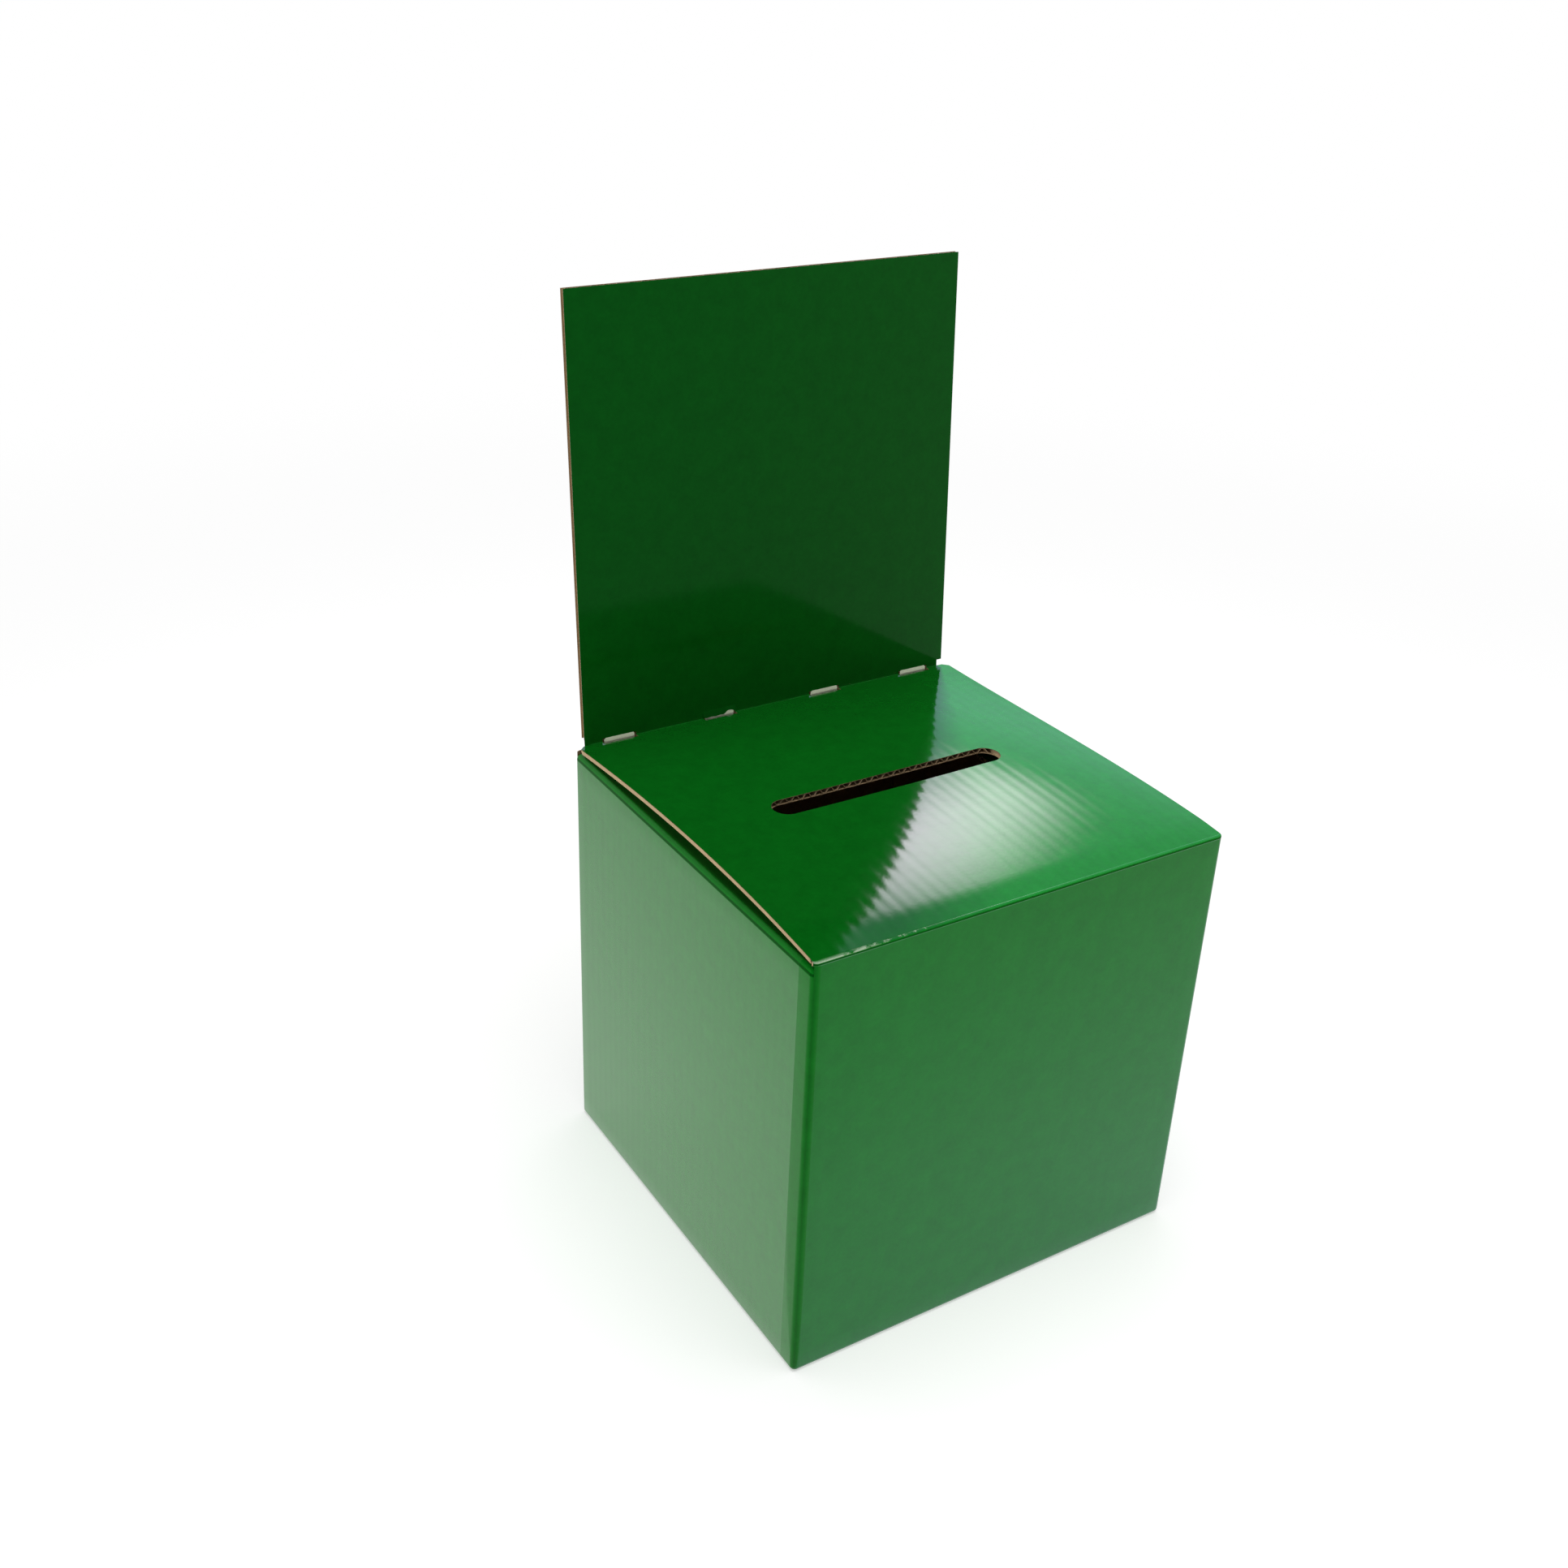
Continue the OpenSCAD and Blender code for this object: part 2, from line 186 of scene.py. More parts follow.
class FinishSettings(bpy.types.PropertyGroup):
    """Colours and gloss."""
    green: colour_prop("Print", "Colour of the green ink", (0.0020, 0.125, 0.0070))
    gloss_tint: colour_prop("Gloss tint", "Tint that the ink gives to reflections", (0.03, 0.25, 0.06))
    worn: colour_prop("Worn print", "Colour of the paper where a crease has scuffed the ink",
                      (0.36, 0.47, 0.33))
    kraft: colour_prop("Kraft", "Colour of the raw kraft liner", (0.46, 0.33, 0.19))
    medium: colour_prop("Fluting", "Colour of the fluted medium", (0.40, 0.29, 0.17))
    # Tabs is painted light: a paler, greener copy of the kraft, so that the lock tabs look lit
    tab: colour_prop("Tabs", "Colour of the rubbed inner paper of the lock tabs", (0.62, 0.67, 0.50))
    cockle: size_prop("Cockle", "Height of the fine unevenness of the printed liner", 0.005, 0, 0.1)
    crumple: size_prop("Crumple", "Height of the finer unevenness that the lid has besides", 0.006, 0, 0.1)
    roughness: factor_prop("Roughness", "Roughness of the printed coating", 0.09)


class StageSettings(bpy.types.PropertyGroup):
    """Camera, floor and light."""
    camera_place: bpy.props.FloatVectorProperty(
        name="Camera", description="Place of the camera",
        default=(-0.4561, -0.6154, 0.6349), size=3, subtype="TRANSLATION", unit="LENGTH")
    camera_azimuth: angle_prop("Azimuth", "Direction of view, clockwise from +Y", 32.721)
    camera_pitch: angle_prop("Pitch", "Angle by which the view looks down", 27.908)
    camera_roll: angle_prop("Roll", "Turn of the picture about the direction of view", 2.363)
    lens: bpy.props.FloatProperty(
        name="Lens", description="Focal length on a 36 mm sensor",
        default=40.84, min=10, max=200, unit="CAMERA")
    ambient: glow_prop("Ambient", "Strength of the room's light on the box", 0.1)
    floor_lift: factor_prop("Floor lift", "Brightness of the floor besides its lamplight", 0.55)
    overhead: watt_prop("Overhead", "Power of the overhead softbox", 35)
    front_fill: watt_prop("Front fill", "Power of the low light in front of the box", 12.8)
    side_fill: watt_prop("Side fill", "Power of the low light to the left of the box", 14.6)
    key: watt_prop("Key", "Power of the soft light behind the box on the right", 113)
    back_fill: watt_prop("Back fill", "Power of the light behind the box", 12)
    window_tint: colour_prop("Window tint", "Colour of the panel that the lid mirrors", (1.0, 0.72, 0.96))
    window: glow_prop("Window", "Brightness of the panel that the lid mirrors", 11.5)
    sky_tint: colour_prop("Sky tint", "Colour of the wide faint panel behind the window", (0.0, 0.25, 1.0))
    sky: glow_prop("Sky", "Brightness of the wide faint panel behind the window", 0.65)
    front_tint: colour_prop("Front tint", "Colour of the card that the front wall mirrors",
                            (0.52, 0.58, 1.0))
    front_card: glow_prop("Front card", "Brightness of the card that the front wall mirrors", 0.75)
    side_card: glow_prop("Side card", "Brightness of the card that the left wall mirrors", 0.55)


GROUPS = {"board": BoardSettings, "lid": LidSettings, "crease": CreaseSettings,
          "finish": FinishSettings, "stage": StageSettings}


class BallotBoxSettings(bpy.types.PropertyGroup):
    """All sizes and colours of the dressing."""
    board: bpy.props.PointerProperty(type=BoardSettings)
    lid: bpy.props.PointerProperty(type=LidSettings)
    crease: bpy.props.PointerProperty(type=CreaseSettings)
    finish: bpy.props.PointerProperty(type=FinishSettings)
    stage: bpy.props.PointerProperty(type=StageSettings)


def settings():
    return bpy.context.scene.ballot_box


# Meshes

WELD = 1e-7


def weld(points, faces):
    """Makes one point of points that fall together, and drops the corners that a face then repeats.
    Also returns which points are kept."""
    _, first, where = np.unique(np.round(points / WELD), axis=0, return_index=True, return_inverse=True)
    where = where.ravel().tolist()
    joined = [list(dict.fromkeys(where[corner] for corner in face)) for face in faces]
    return points[first], [face for face in joined if len(face) > 2], first


def rim(faces):
    """Directed edges that only one face has."""
    edges = dict.fromkeys((a, b) for face in faces for a, b in zip(face, face[1:] + face[:1]))
    return [(a, b) for a, b in edges if (b, a) not in edges]


def closed_sheet(outer, inner, faces):
    """Points and faces of a thin solid between an outer and an inner layer that share their faces."""
    count = len(outer)
    back = [[count + corner for corner in reversed(face)] for face in faces]
    sides = [[b, a, a + count, b + count] for a, b in rim(faces)]
    return np.vstack([outer, inner]), faces + back + sides


def flipped(faces):
    return [face[::-1] for face in faces]


def make_piece(name, points, faces, materials, material_of_face=None, sharp=30):
    """A smooth-shaded mesh object whose edges sharper than the given degrees stay sharp."""
    mesh = bpy.data.meshes.new(name)
    mesh.from_pydata(np.asarray(points).tolist(), [], faces)
    for material in materials:
        mesh.materials.append(material)
    if material_of_face is not None:
        mesh.polygons.foreach_set("material_index", material_of_face)
    mesh.shade_smooth()
    mesh.set_sharp_from_angle(angle=math.radians(sharp))
    mesh.update()
    piece = bpy.data.objects.new(name, mesh)
    bpy.context.scene.collection.objects.link(piece)
    return piece


def strip_faces(columns, rows, start=0):
    """Quads of a grid whose points are numbered along its rows, column after column."""
    return [[start + i * rows + j, start + (i + 1) * rows + j,
             start + (i + 1) * rows + j + 1, start + i * rows + j + 1]
            for i in range(columns - 1) for j in range(rows - 1)]


def tube_faces(count, stations):
    """Faces of a closed section of count points that is carried through several stations."""
    sides = [[i * count + j, i * count + (j + 1) % count,
              (i + 1) * count + (j + 1) % count, (i + 1) * count + j]
             for i in range(stations - 1) for j in range(count)]
    last = (stations - 1) * count
    return sides + [list(range(count))[::-1], [last + j for j in range(count)]]


def prism(section, xs):
    """Points and faces of a closed section, given as (y, z) pairs, carried through several x."""
    points = np.array([(x, y, z) for x in xs for y, z in section])
    return points, tube_faces(len(section), len(xs))


def arc(centre, radius, start, end, steps):
    """Points (y, z) of an arc from start to end, in degrees."""
    angles = np.radians(np.linspace(start, end, steps + 1))
    return [(centre[0] + radius * math.cos(a), centre[1] + radius * math.sin(a)) for a in angles]


# Corrugated board

def flute_spacing(width):
    return width / round(width / settings().board.flute_pitch)


def bend_inset(width):
    """How much narrower the inside of a flute's bend is than its outside, at each end."""
    board = settings().board
    rise = BOARD_T - 2 * LINER_T - board.medium_t
    slope = math.atan(rise / (flute_spacing(width) / 2 - board.crest_w))
    return board.medium_t * math.tan(slope / 2)


def wave_breaks(width):
    """Every place across a panel where a face of the fluted medium bends."""
    pitch = flute_spacing(width)
    wide = settings().board.crest_w / 2
    narrow = wide - bend_inset(width)
    crests = np.arange(0, 2 * round(width / pitch) + 1) * pitch / 2
    breaks = np.concatenate([crests + side for side in (-wide, -narrow, narrow, wide)])
    return np.clip(breaks, 0, width)


def wave_depth(u, width, upper):
    """Depth of the medium's upper or lower face below the print, at u across a panel."""
    board = settings().board
    pitch = flute_spacing(width)
    from_crest = np.abs(u - np.round(u / pitch) * pitch)
    inset = bend_inset(width)
    leave = board.crest_w / 2 - (0 if upper else inset)
    arrive = pitch / 2 - board.crest_w / 2 + (inset if upper else 0)
    near = LINER_T + (0 if upper else board.medium_t)
    far = BOARD_T - LINER_T - (board.medium_t if upper else 0)
    depth = near + (far - near) * np.clip((from_crest - leave) / (arrive - leave), 0, 1)
    if not upper:
        crushed = np.minimum(u, width - u) < board.crushed_w
        depth = np.where(crushed, BOARD_T - LINER_T, depth)
    return depth


RIPPLE_STEPS = 8


def ripple_depth(u, v, width):
    """How far the printed liner sinks between its glue lines, unevenly along and across the flutes.
    It is straight between the regular columns, so that extra columns leave no mark."""
    place = u / flute_spacing(width) * RIPPLE_STEPS
    flute = np.floor(place / RIPPLE_STEPS + 1e-6)
    near = np.floor(place + 1e-6)
    waves = [(1 - np.cos(2 * np.pi * step / RIPPLE_STEPS)) / 2 for step in (near, near + 1)]
    wave = waves[0] + (waves[1] - waves[0]) * (place - near)
    mean, alternate, drift = 0.7, 0.2, 0.3
    drifting = np.sin(12.99 * flute) * np.cos(v * 95 + 4.1 * flute)
    uneven = mean + alternate * np.cos(np.pi * flute) + drift * drifting
    return settings().board.ripple * uneven * wave


# Walls

def wall_grid(width, raw_start, top, folded_top):
    """Columns and rows of a wall's printed liner, and its faces. Each column is a place across the wall
    and a turn towards the next wall. Each row is a height and a turn down or in."""
    radius = settings().crease.corner_r
    half = np.radians(np.linspace(0, 45, 7))
    full = np.radians(np.linspace(0, 90, 9))
    flat = [(x, 0) for x in np.linspace(radius, width - radius, 36)[1:-1]]
    start = [(0, 0), (radius, 0)] if raw_start else [(radius, -a) for a in half[::-1]]
    columns = start + flat + [(width - radius, a) for a in half]
    rows = [(radius, -a) for a in full[::-1]]
    if folded_top:
        rows += [(y, 0) for y in np.linspace(radius, top - radius, 24)[1:-1]]
        rows += [(top - radius, a) for a in full]
    else:
        rows += [(y, 0) for y in np.linspace(radius, top, 24)[1:]]
    return np.array(columns), np.array(rows), strip_faces(len(columns), len(rows))


def wall_liner(name, corner, across, outward, width, top, raw_start=False, folded_top=False):
    """The printed liner of a wall with its folds. corner is the wall's lower left corner and across its
    direction, both seen from outside."""
    radius = settings().crease.corner_r
    columns, rows, faces = wall_grid(width, raw_start, top, folded_top)
    x, turn = (part[:, None] for part in columns.T)
    y, tilt = (part[None, :] for part in rows.T)
    layers = []
    for reach in (radius, radius - LINER_T):
        local = np.stack(np.broadcast_arrays(
            x + reach * np.cos(tilt) * np.sin(turn), y + reach * np.sin(tilt),
            reach * np.cos(tilt) * np.cos(turn) - radius), axis=-1).reshape(-1, 3)
        layers.append(np.array(corner) + local[:, :1] * np.array(across)
                      + local[:, 2:] * np.array(outward) + local[:, 1:2] * np.array((0, 0, 1)))
    outer, faces, first = weld(layers[0], faces)
    points, closed = closed_sheet(outer, layers[1][first], faces)
    tags = np.zeros(len(closed), dtype=int)
    tags[len(faces):] = 1
    piece = make_piece(f"{name}_printed_liner", points, closed,
                       [wall_print(name), kraft_liner()], tags, sharp=40)
    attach(piece, "box")
    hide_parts(f"{name}_print")


class BALLOTBOX_OT_walls(bpy.types.Operator):
    """Builds the printed liner of the four walls with their rounded corners and folds"""
    bl_idname = "ballotbox.walls"
    bl_label = "Walls"

    def execute(self, context):
        crease = settings().crease
        left, right, back = -BOX_W / 2, BOX_W / 2, BACK_Y
        front_top = BOX_H - crease.reach + crease.overlap
        wall_liner("front_wall", (left, FRONT_Y, 0), (1, 0, 0), (0, -1, 0), BOX_W, front_top)
        wall_liner("left_wall", (left, back, 0), (0, -1, 0), (-1, 0, 0), BOX_D, FOLD_Z, folded_top=True)
        wall_liner("back_wall", (right, back, 0), (-1, 0, 0), (0, 1, 0), BOX_W,
                   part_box("back_wall_print")[1].z, raw_start=True)
        wall_liner("right_wall", (right, FRONT_Y, 0), (0, 1, 0), (1, 0, 0), BOX_D - BOARD_T, FOLD_Z,
                   folded_top=True)
        for panel in ("front_wall", "left_wall", "back_wall", "right_wall"):
            paint(f"{panel}_flutes", fluting())
            paint(f"{panel}_kraft", kraft_liner())
        return {"FINISHED"}


# Lid

def smooth(share):
    return share ** 2 * (3 - 2 * share)


def lid_rise(u, v):
    """Height of the bowed lid above its flat place, at u across and v along it."""
    lid = settings().lid
    side = (2 * u / LID_W - 1) ** 2
    from_right = np.clip((u / LID_W - (1 - lid.right_w)) / lid.right_w, 0, 1) ** 2
    bow = lid.bow_middle + (lid.bow_side - lid.bow_middle) * side - lid.right_drop * from_right
    early = lid.early_bow * side + lid.right_early * from_right
    arch = 4 * v * (LID_L - v) / LID_L ** 2 * (1 + early * (1 - 2 * v / LID_L))
    # The roll over to the front crease fades out towards the left edge.
    fade_start, fade_w = 0.05, 0.13
    from_left = np.clip((u / LID_W - fade_start) / fade_w, 0, 1)
    roll = np.clip(1 - v / lid.roll_l, 0, 1) * smooth(from_left)
    return bow * arch - lid.roll_drop * roll


def lid_place(u, v, depth):
    """Points of the bowed lid at u across and v along it, and that deep below its printed face."""
    lid = settings().lid
    near = np.clip(1 - np.minimum(u, LID_W - u) / lid.lean_w, 0, 1)
    lean = lid.edge_lean * near * np.clip(2 * depth / BOARD_T - 1, 0, 1)
    x = lid_low.x + u + lean * np.sign(LID_W / 2 - u)
    return np.stack([x, lid_low.y + v, BOX_H + lid_rise(u, v) - depth], axis=-1)


def slot_half_width(u):
    """Half the ballot slot's opening at u across the lid."""
    lid = settings().lid
    radius = lid.slot_w / 2
    past = np.clip(np.abs(u - LID_W / 2) - (lid.slot_l / 2 - radius), 0, radius)
    return np.where(np.abs(u - LID_W / 2) < lid.slot_l / 2, np.sqrt(radius ** 2 - past ** 2), 0)


# Places of extra columns near a side edge, where the front corners are rounded
CORNER_STEPS = np.array([0, 0.3, 0.7, 1.2, 1.8, 2.4]) * MM


def lid_columns(breaks):
    """Places across the lid for the given breaks, the slot's round ends, the corners and the notches."""
    lid = settings().lid
    radius = lid.slot_w / 2
    turn = radius * np.cos(np.radians(np.arange(0, 91, 9)))
    ends = [LID_W / 2 + side * (lid.slot_l / 2 - radius + turn) for side in (-1, 1)]
    margin = np.array([*CORNER_STEPS, lid.lean_w, lid.chamfer])
    step = 0.01 * MM
    sides = [x - lid_low.x + side * settings().crease.tab_slot_w / 2 + past
             for x in tab_middles() for side in (-1, 1) for past in (-step, step)]
    return np.unique(np.round(np.concatenate([breaks, *ends, margin, LID_W - margin, sides]), 7))


def lid_end(u):
    """Where the lid ends at u across it, with its chamfers and its notches for the tabs."""
    lid = settings().lid
    end = LID_L - np.clip(lid.chamfer - np.minimum(u, LID_W - u), 0, None)
    for x in tab_middles():
        inside = np.abs(u - (x - lid_low.x)) < settings().crease.tab_slot_w / 2
        end = np.where(inside, LID_L - lid.tab_notch, end)
    return end


def lid_grid(breaks, front, rows):
    """Places (u, v) and faces of the lid's outline with the ballot slot left open. The rows in front of
    the slot are closer together near the front crease."""
    u = lid_columns(breaks)
    half = slot_half_width(u)
    steps = np.linspace(0, 1, rows)
    start = front + np.array([corner_inset(x) for x in lid_low.x + u])
    crowding = 1.3
    near = start[:, None] + (SLOT_V - half - start)[:, None] * steps ** crowding
    far = (SLOT_V + half)[:, None] + (lid_end(u) - SLOT_V - half)[:, None] * steps
    places = [np.stack(np.broadcast_arrays(u[:, None], part), axis=-1).reshape(-1, 2)
              for part in (near, far)]
    faces = strip_faces(len(u), rows) + strip_faces(len(u), rows, start=len(u) * rows)
    return weld(np.vstack(places), faces)[:2]


def lid_ply(name, breaks, front, rows, outer_depth, inner_depth, materials):
    """One ply of the bowed lid. The depths are functions of u and v."""
    places, faces = lid_grid(breaks, front, rows)
    u, v = places.T
    outer = lid_place(u, v, outer_depth(u, v))
    inner = lid_place(u, v, inner_depth(u, v))
    points, closed = closed_sheet(outer, inner, faces)
    tags = np.zeros(len(closed), dtype=int)
    tags[len(faces):] = len(materials) - 1
    return make_piece(name, points, closed, materials, tags)


class BALLOTBOX_OT_lid(bpy.types.Operator):
    """Builds the bowed lid in its three plies, with the ballot slot cut through them"""
    bl_idname = "ballotbox.lid"
    bl_label = "Lid"

    def execute(self, context):
        crushed_w = settings().board.crushed_w
        flutes = round(LID_W / flute_spacing(LID_W))
        printed = lid_ply(
            "lid_printed_liner", np.linspace(0, LID_W, RIPPLE_STEPS * flutes + 1), settings().lid.start, 22,
            lambda u, v: ripple_depth(u, v, LID_W), lambda u, v: u * 0 + LINER_T,
            [lid_print(), cut_edge()])
        crushed = np.array([crushed_w * 0.98, crushed_w])
        fluted = lid_ply(
            "lid_fluted_medium", np.concatenate([wave_breaks(LID_W), crushed, LID_W - crushed]), BOARD_T, 14,
            lambda u, v: wave_depth(u, LID_W, True), lambda u, v: wave_depth(u, LID_W, False),
            [fluting()])
        kraft = lid_ply(
            "lid_kraft_liner", np.linspace(0, LID_W, 41), BOARD_T, 14,
            lambda u, v: u * 0 + BOARD_T - LINER_T, lambda u, v: u * 0 + BOARD_T,
            [kraft_liner()])
        for piece, node, slot in ((printed, "lid_print", "green_print"),
                                  (fluted, "lid_flutes", "fluted_medium"),
                                  (kraft, "lid_kraft", "kraft_liner")):
            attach(piece, "lid")
            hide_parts(node)
        return {"FINISHED"}


# Creases

def lid_surface(x, y):
    """Height of the lid's printed face above a point of the plan."""
    return BOX_H + float(lid_rise(x - lid_low.x, y - lid_low.y))


def corner_inset(x):
    """How far the front wall's rounded corners draw back from its face at x."""
    radius = settings().crease.corner_r
    past = max(abs(x) - (BOX_W / 2 - radius), 0)
    return radius - math.sqrt(max(radius ** 2 - past ** 2, 0))


def worn_depth(x):
    """How far handling has pressed in the front crease at x, by up to about a tenth of a millimetre."""
    return 0.05 * MM * (1 + math.sin(x * 310) * math.sin(x * 97 + 1) + 0.6 * math.sin(x * 1130 + 2))


def crest_section(x):
    """Section of the front crease's paper at x, as (y, z) pairs."""
    crease = settings().crease
    radius = crease.crest_r
    front = FRONT_Y + corner_inset(x)
    centre = (front + radius, lid_surface(x, FRONT_Y + radius) - worn_depth(x) - radius)
    low_z = BOX_H - crease.reach
    outer = [(front - crease.proud, low_z), (front, (low_z + centre[1]) / 2)]
    outer += arc(centre, radius, 180, 90, 8)
    outer += [(y, lid_surface(x, y) + crease.proud)
              for y in np.linspace(centre[0], front + crease.reach, 5)[1:]]
    thickness = LINER_T * 0.7
    return outer + [(y + thickness, z - thickness) for y, z in reversed(outer)]


def crushed_edge(name, section, ends, body):
    """A wedge of crushed board behind the front crease."""
    points, faces = prism(section, ends)
    piece = make_piece(name, points, faces, [kraft_liner()])
    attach(piece, body)


class BALLOTBOX_OT_front_crease(bpy.types.Operator):
    """Folds the printed liner over the top of the front wall, with the crushed board behind it"""
    bl_idname = "ballotbox.front_crease"
    bl_label = "Front crease"

    def execute(self, context):
        corner = CORNER_STEPS[:-1]
        inner = CORNER_STEPS[-1]
        xs = np.concatenate([lid_low.x + corner, np.linspace(lid_low.x + inner, lid_high.x - inner, 111),
                             (lid_high.x - corner)[::-1]])
        sections = [crest_section(x) for x in xs]
        points = [(x, y, z) for x, section in zip(xs, sections) for y, z in section]
        faces = flipped(tube_faces(len(sections[0]), len(xs)))
        strip = make_piece("front_crease_liner", points, faces, [crease_print()], sharp=60)
        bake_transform(strip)

        depth = BOARD_T - LINER_T
        core_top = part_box("front_wall_kraft")[1].z
        crushed_edge("front_wall_crushed_edge",
                     [(FRONT_Y + LINER_T, core_top), (FRONT_Y + BOARD_T, core_top),
                      (FRONT_Y + LINER_T, core_top + depth * 0.85)],
                     [BOARD_T - BOX_W / 2, BOX_W / 2 - BOARD_T], "box")
        start = lid_low.y + BOARD_T
        top = lid_surface(0, start)
        inset = settings().crease.crest_r
        crushed_edge("lid_crushed_edge",
                     [(start, top - LINER_T), (start - depth * 0.8, BOX_H - LINER_T * 3),
                      (start, top - BOARD_T)],
                     [lid_low.x + inset, lid_high.x - inset], "lid")
        return {"FINISHED"}


def header_face(z):
    """Where the header's leaning printed face is at height z."""
    lean = (header_high.y - HEADER_CREASE.y) / (header_high.z - HEADER_CREASE.z)
    return HEADER_CREASE.y + lean * (z - HEADER_CREASE.z)


def tab_middles():
    """Middle x of each lock tab, found from the gaps in the tabs' node."""
    xs = sorted({round(v.co.x, 5) for v in frame["nodes"]["lock_tabs_kraft"].data.vertices})
    groups = [[xs[0]]]
    for x in xs[1:]:
        if x - groups[-1][-1] > 10 * MM and len(groups[-1]) > 3:
            groups.append([x])
        else:
            groups[-1].append(x)
    return [(group[0] + group[-1]) / 2 for group in groups]


def header_spans():
    """Stretches of the header's crease between its tab slots and its relief cuts, as pairs of x."""
    crease = settings().crease
    half = crease.tab_slot_w / 2
    slots = [x + side for x in tab_middles() for side in (-half, half)]
    cuts = [header_low.x + crease.relief_w, *slots, header_high.x - crease.relief_w]
    return list(zip(cuts[::2], cuts[1::2]))


class BALLOTBOX_OT_header_crease(bpy.types.Operator):
    """Joins the lid to the header between the tab slots, printed in the valley and kraft behind"""
    bl_idname = "ballotbox.header_crease"
    bl_label = "Header crease"

    def execute(self, context):
        crease = settings().crease
        fold_y, fold_z = HEADER_CREASE.y, HEADER_CREASE.z
        fillet, proud = crease.fillet, crease.proud
        for number, (x0, x1) in enumerate(header_spans(), start=1):
            xs = np.linspace(x0, x1, 9)
            inner = [(lid_low.y + LID_L - 0.4 * MM - fillet, BOX_H + proud)]
            inner += arc((fold_y - fillet - proud, fold_z + fillet + proud), fillet, -90, 0, 6)
            top_z = fold_z + fillet + 0.6 * MM
            inner.append((header_face(top_z) - proud, top_z))
            section = inner + arc((fold_y, fold_z), BOARD_T + proud, 0, -90, 10)
            points, faces = prism(section, xs)
            count = len(section)
            sides = (len(xs) - 1) * count
            tags = [0 if k < sides and k % count < len(inner) - 1 else 1 for k in range(len(faces))]
            web = make_piece(f"header_crease_web_{number}", points, flipped(faces),
                             [valley_print(), kraft_liner()], tags, sharp=40)
            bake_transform(web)
        return {"FINISHED"}


class BALLOTBOX_OT_header_lips(bpy.types.Operator):
    """Hangs the printed liner over the tab slots, as the die leaves it, and over the left relief cut"""
    bl_idname = "ballotbox.header_lips"
    bl_label = "Header lips"

    def execute(self, context):
        crease = settings().crease
        fold_z = HEADER_CREASE.z
        top = fold_z + crease.lip_top
        half = crease.tab_slot_w / 2 + crease.overlap
        spans = [[x - half, x + half, crease.lip_end] for x in tab_middles()]
        spans[1][2] = crease.lip_torn
        spans.append([header_low.x, header_low.x + crease.relief_w + crease.overlap, -crease.relief_lip])
        columns, rows = 25, 6
        share = np.linspace(0, 1, columns)
        down = np.linspace(0, 1, rows)
        # The second lip is torn open over its right third.
        torn = np.clip((share - 0.62) / 0.12, 0, 1) * np.clip((1 - share) / 0.1, 0, 1)
        for number, (x0, x1, end) in enumerate(spans, start=1):
            open_to = crease.lip_end - end if number == 2 else 0
            frayed = 0.12 * MM * np.sin(share * 23 + number)
            ends = fold_z + end + open_to * torn + frayed
            z = top + (ends[:, None] - top) * down
            bulge = 0 if end == crease.lip_end else crease.lip_bulge
            y = header_face(z) - crease.proud - bulge * down
            x = np.broadcast_to((x0 + (x1 - x0) * share)[:, None], z.shape)
            outer = np.stack([x, y, z], axis=-1).reshape(-1, 3)
            thickness = 0.15 * MM
            points, faces = closed_sheet(outer, outer + (0, thickness, 0), strip_faces(columns, rows))
            lip = make_piece(f"header_lip_{number}", points, flipped(faces), [valley_print()], sharp=60)
            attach(lip, "header")
            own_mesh(lip)
        return {"FINISHED"}


class BALLOTBOX_OT_dust_flap_creases(bpy.types.Operator):
    """Carries the printed liner from each side wall's folded top on to its dust flap"""
    bl_idname = "ballotbox.dust_flap_creases"
    bl_label = "Dust flap creases"

    def execute(self, context):
        crease = settings().crease
        for side, name, joint in ((-1, "left", LEFT_CREASE), (1, "right", RIGHT_CREASE)):
            low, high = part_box(f"{name}_dust_flap_print")
            flap_x = high.x if side > 0 else low.x
            fold_x = flap_x + side * crease.flap_gap
            lap = side * crease.flap_lap
            top = high.z + crease.proud * 0.5
            across = [fold_x + lap, *np.linspace(fold_x, flap_x, 13), flap_x - lap]
            section = [(x, top) for x in across] + [(x, top - LINER_T * 0.6) for x in reversed(across)]
            points, faces = prism(section, np.linspace(low.y, high.y, 41))
            strip = make_piece(f"{name}_dust_flap_crease_liner", points[:, [1, 0, 2]],
                               flipped(faces) if side > 0 else faces, [flap_print()], sharp=50)
            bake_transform(strip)
        return {"FINISHED"}


# Finishes

